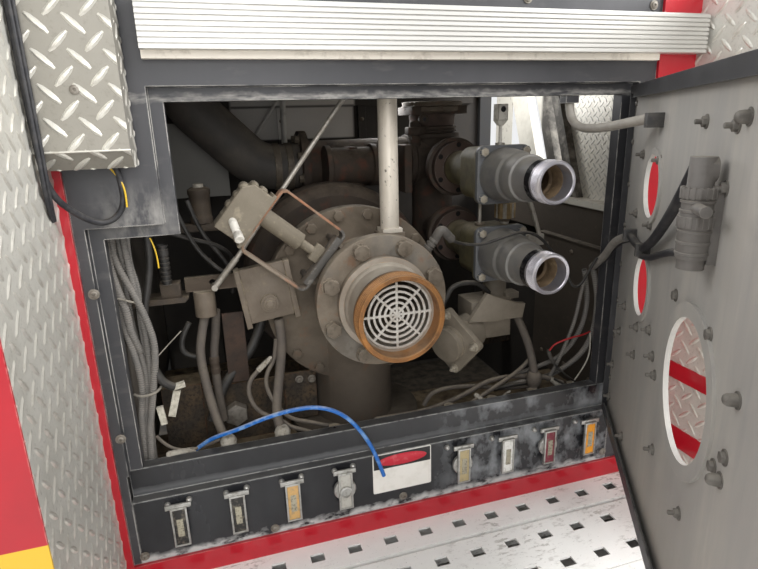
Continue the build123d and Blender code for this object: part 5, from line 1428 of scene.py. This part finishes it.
# Cable connector on the door: a stack of moulded rings with a domed elbow on top, ribbed for grip, and
# the cables that run to it under two clamps.
connector_grey = finish("connector_grey", "706c68", 0.55, layers=[
    (patches(40, 0.46, 0.66, 0.6), "5b5854", 0.65), (settled(0.8), "a19a8e", 0.85),
    (edges(0.0015, 0.7), "908b84", 0.6)], grain=(400, 0.2, 0.0004))
softened("door_connector", connector_grey, 0.0015, "connector_body", body="door")
CONNECTOR_S, CONNECTOR_OFF, CONNECTOR_R = 0.541, 0.025, 0.0187
rib_places = [on_door(CONNECTOR_S, z, CONNECTOR_OFF, RISE) @ Matrix.Rotation(math.radians(a), 4, "Z")
              @ at(0, -CONNECTOR_R, 0) for z in (0.778, 0.809) for a in range(0, 360, 20)]
fit(spread(tile(0.0026, 0.012, 0.003), rib_places), "connector_ribs", connector_grey, "door")
moulded_band = turned([(0.0163, 0), (0.0174, 0.0006), (0.0174, 0.003), (0.0163, 0.0036), (0.0163, 0)], 32)
band_places = [on_door(CONNECTOR_S, z, CONNECTOR_OFF, RISE) for z in (0.742, 0.754, 0.766, 0.788, 0.798)]
fit(spread(moulded_band, band_places), "connector_bands", connector_grey, "door")
bracket_black = finish("bracket_black", "3d3c3c", 0.55, layers=[
    (patches(60, 0.46, 0.66, 0.6), "5f5b56", 0.7), (settled(0.7), "8f897e", 0.85),
    (edges(0.001, 0.7), "8a857c", 0.5)])
softened("door_brackets", bracket_black, 0.001, "door_clamps", body="door")
DOOR_CABLES = [
    (0.007, [(0.311, 0.012, 0.681), (0.255, 0.014, 0.678), (0.199, 0.014, 0.684), (0.149, 0.015, 0.701),
             (0.093, 0.017, 0.73), (0.027, 0.02, 0.769), (-0.028, 0.023, 0.805), (-0.07, 0.025, 0.836)]),
    (0.005, [(0.212, 0.013, 0.668), (0.16, 0.012, 0.676), (0.116, 0.012, 0.691), (0.058, 0.013, 0.709),
             (-0.004, 0.018, 0.724), (-0.072, 0.025, 0.735)]),
]
door_runs = [(radius, [SWING @ Vector(p) for p in route]) for radius, route in DOOR_CABLES]
lined(door_runs, "door_cable_runs", cable_black, "door", stands_for=("door_cables",))

# Stay and harness: a thick grey stay from the header to the door, and the wiring that crosses the hinge.
STAY = [(0.32, 0.034, 0.926), (0.32, 0.034, 0.893), (0.322, 0.005, 0.868), (0.325, -0.06, 0.868),
        (0.32, -0.12, 0.876), (0.314, -0.18, 0.883)]
HARNESS = [(0.418, 0.054, 0.577), (0.416, 0.038, 0.59), (0.416, 0.014, 0.612), (0.407, -0.014, 0.642),
           (0.389, -0.06, 0.666), (0.369, -0.106, 0.678)]
stay_beige = finish("stay_beige", "a39d94", 0.5, layers=[
    (patches(40, 0.46, 0.68, 0.6), "8a847b", 0.6), (settled(0.6), "c2bcb1", 0.8)], grain=(400, 0.2, 0.0004))
stay = lined([(0.008, STAY)], "stay_hose", stay_beige, None, stands_for=("door_stay",))
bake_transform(stay)
sleeve_grey = finish("sleeve_grey", "8a857e", 0.6, layers=[
    (patches(40, share=0.6), "6d6862", 0.7), (settled(0.8), "b5aea2", 0.9)])
sleeve = corrugated("harness_sleeve", HARNESS, 0.0078, 0.0042)
twin_route = [(x + 0.009, y + 0.003, z - 0.008) for x, y, z in HARNESS]
twin = hose("harness_twin", twin_route, 0.0035, cable_black, 3)[0]
sleeve.data.materials.append(sleeve_grey)
harness = fit(joined([sleeve, twin]), "harness_run", None, None, 50, ("door_harness",))
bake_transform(harness)

low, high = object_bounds()
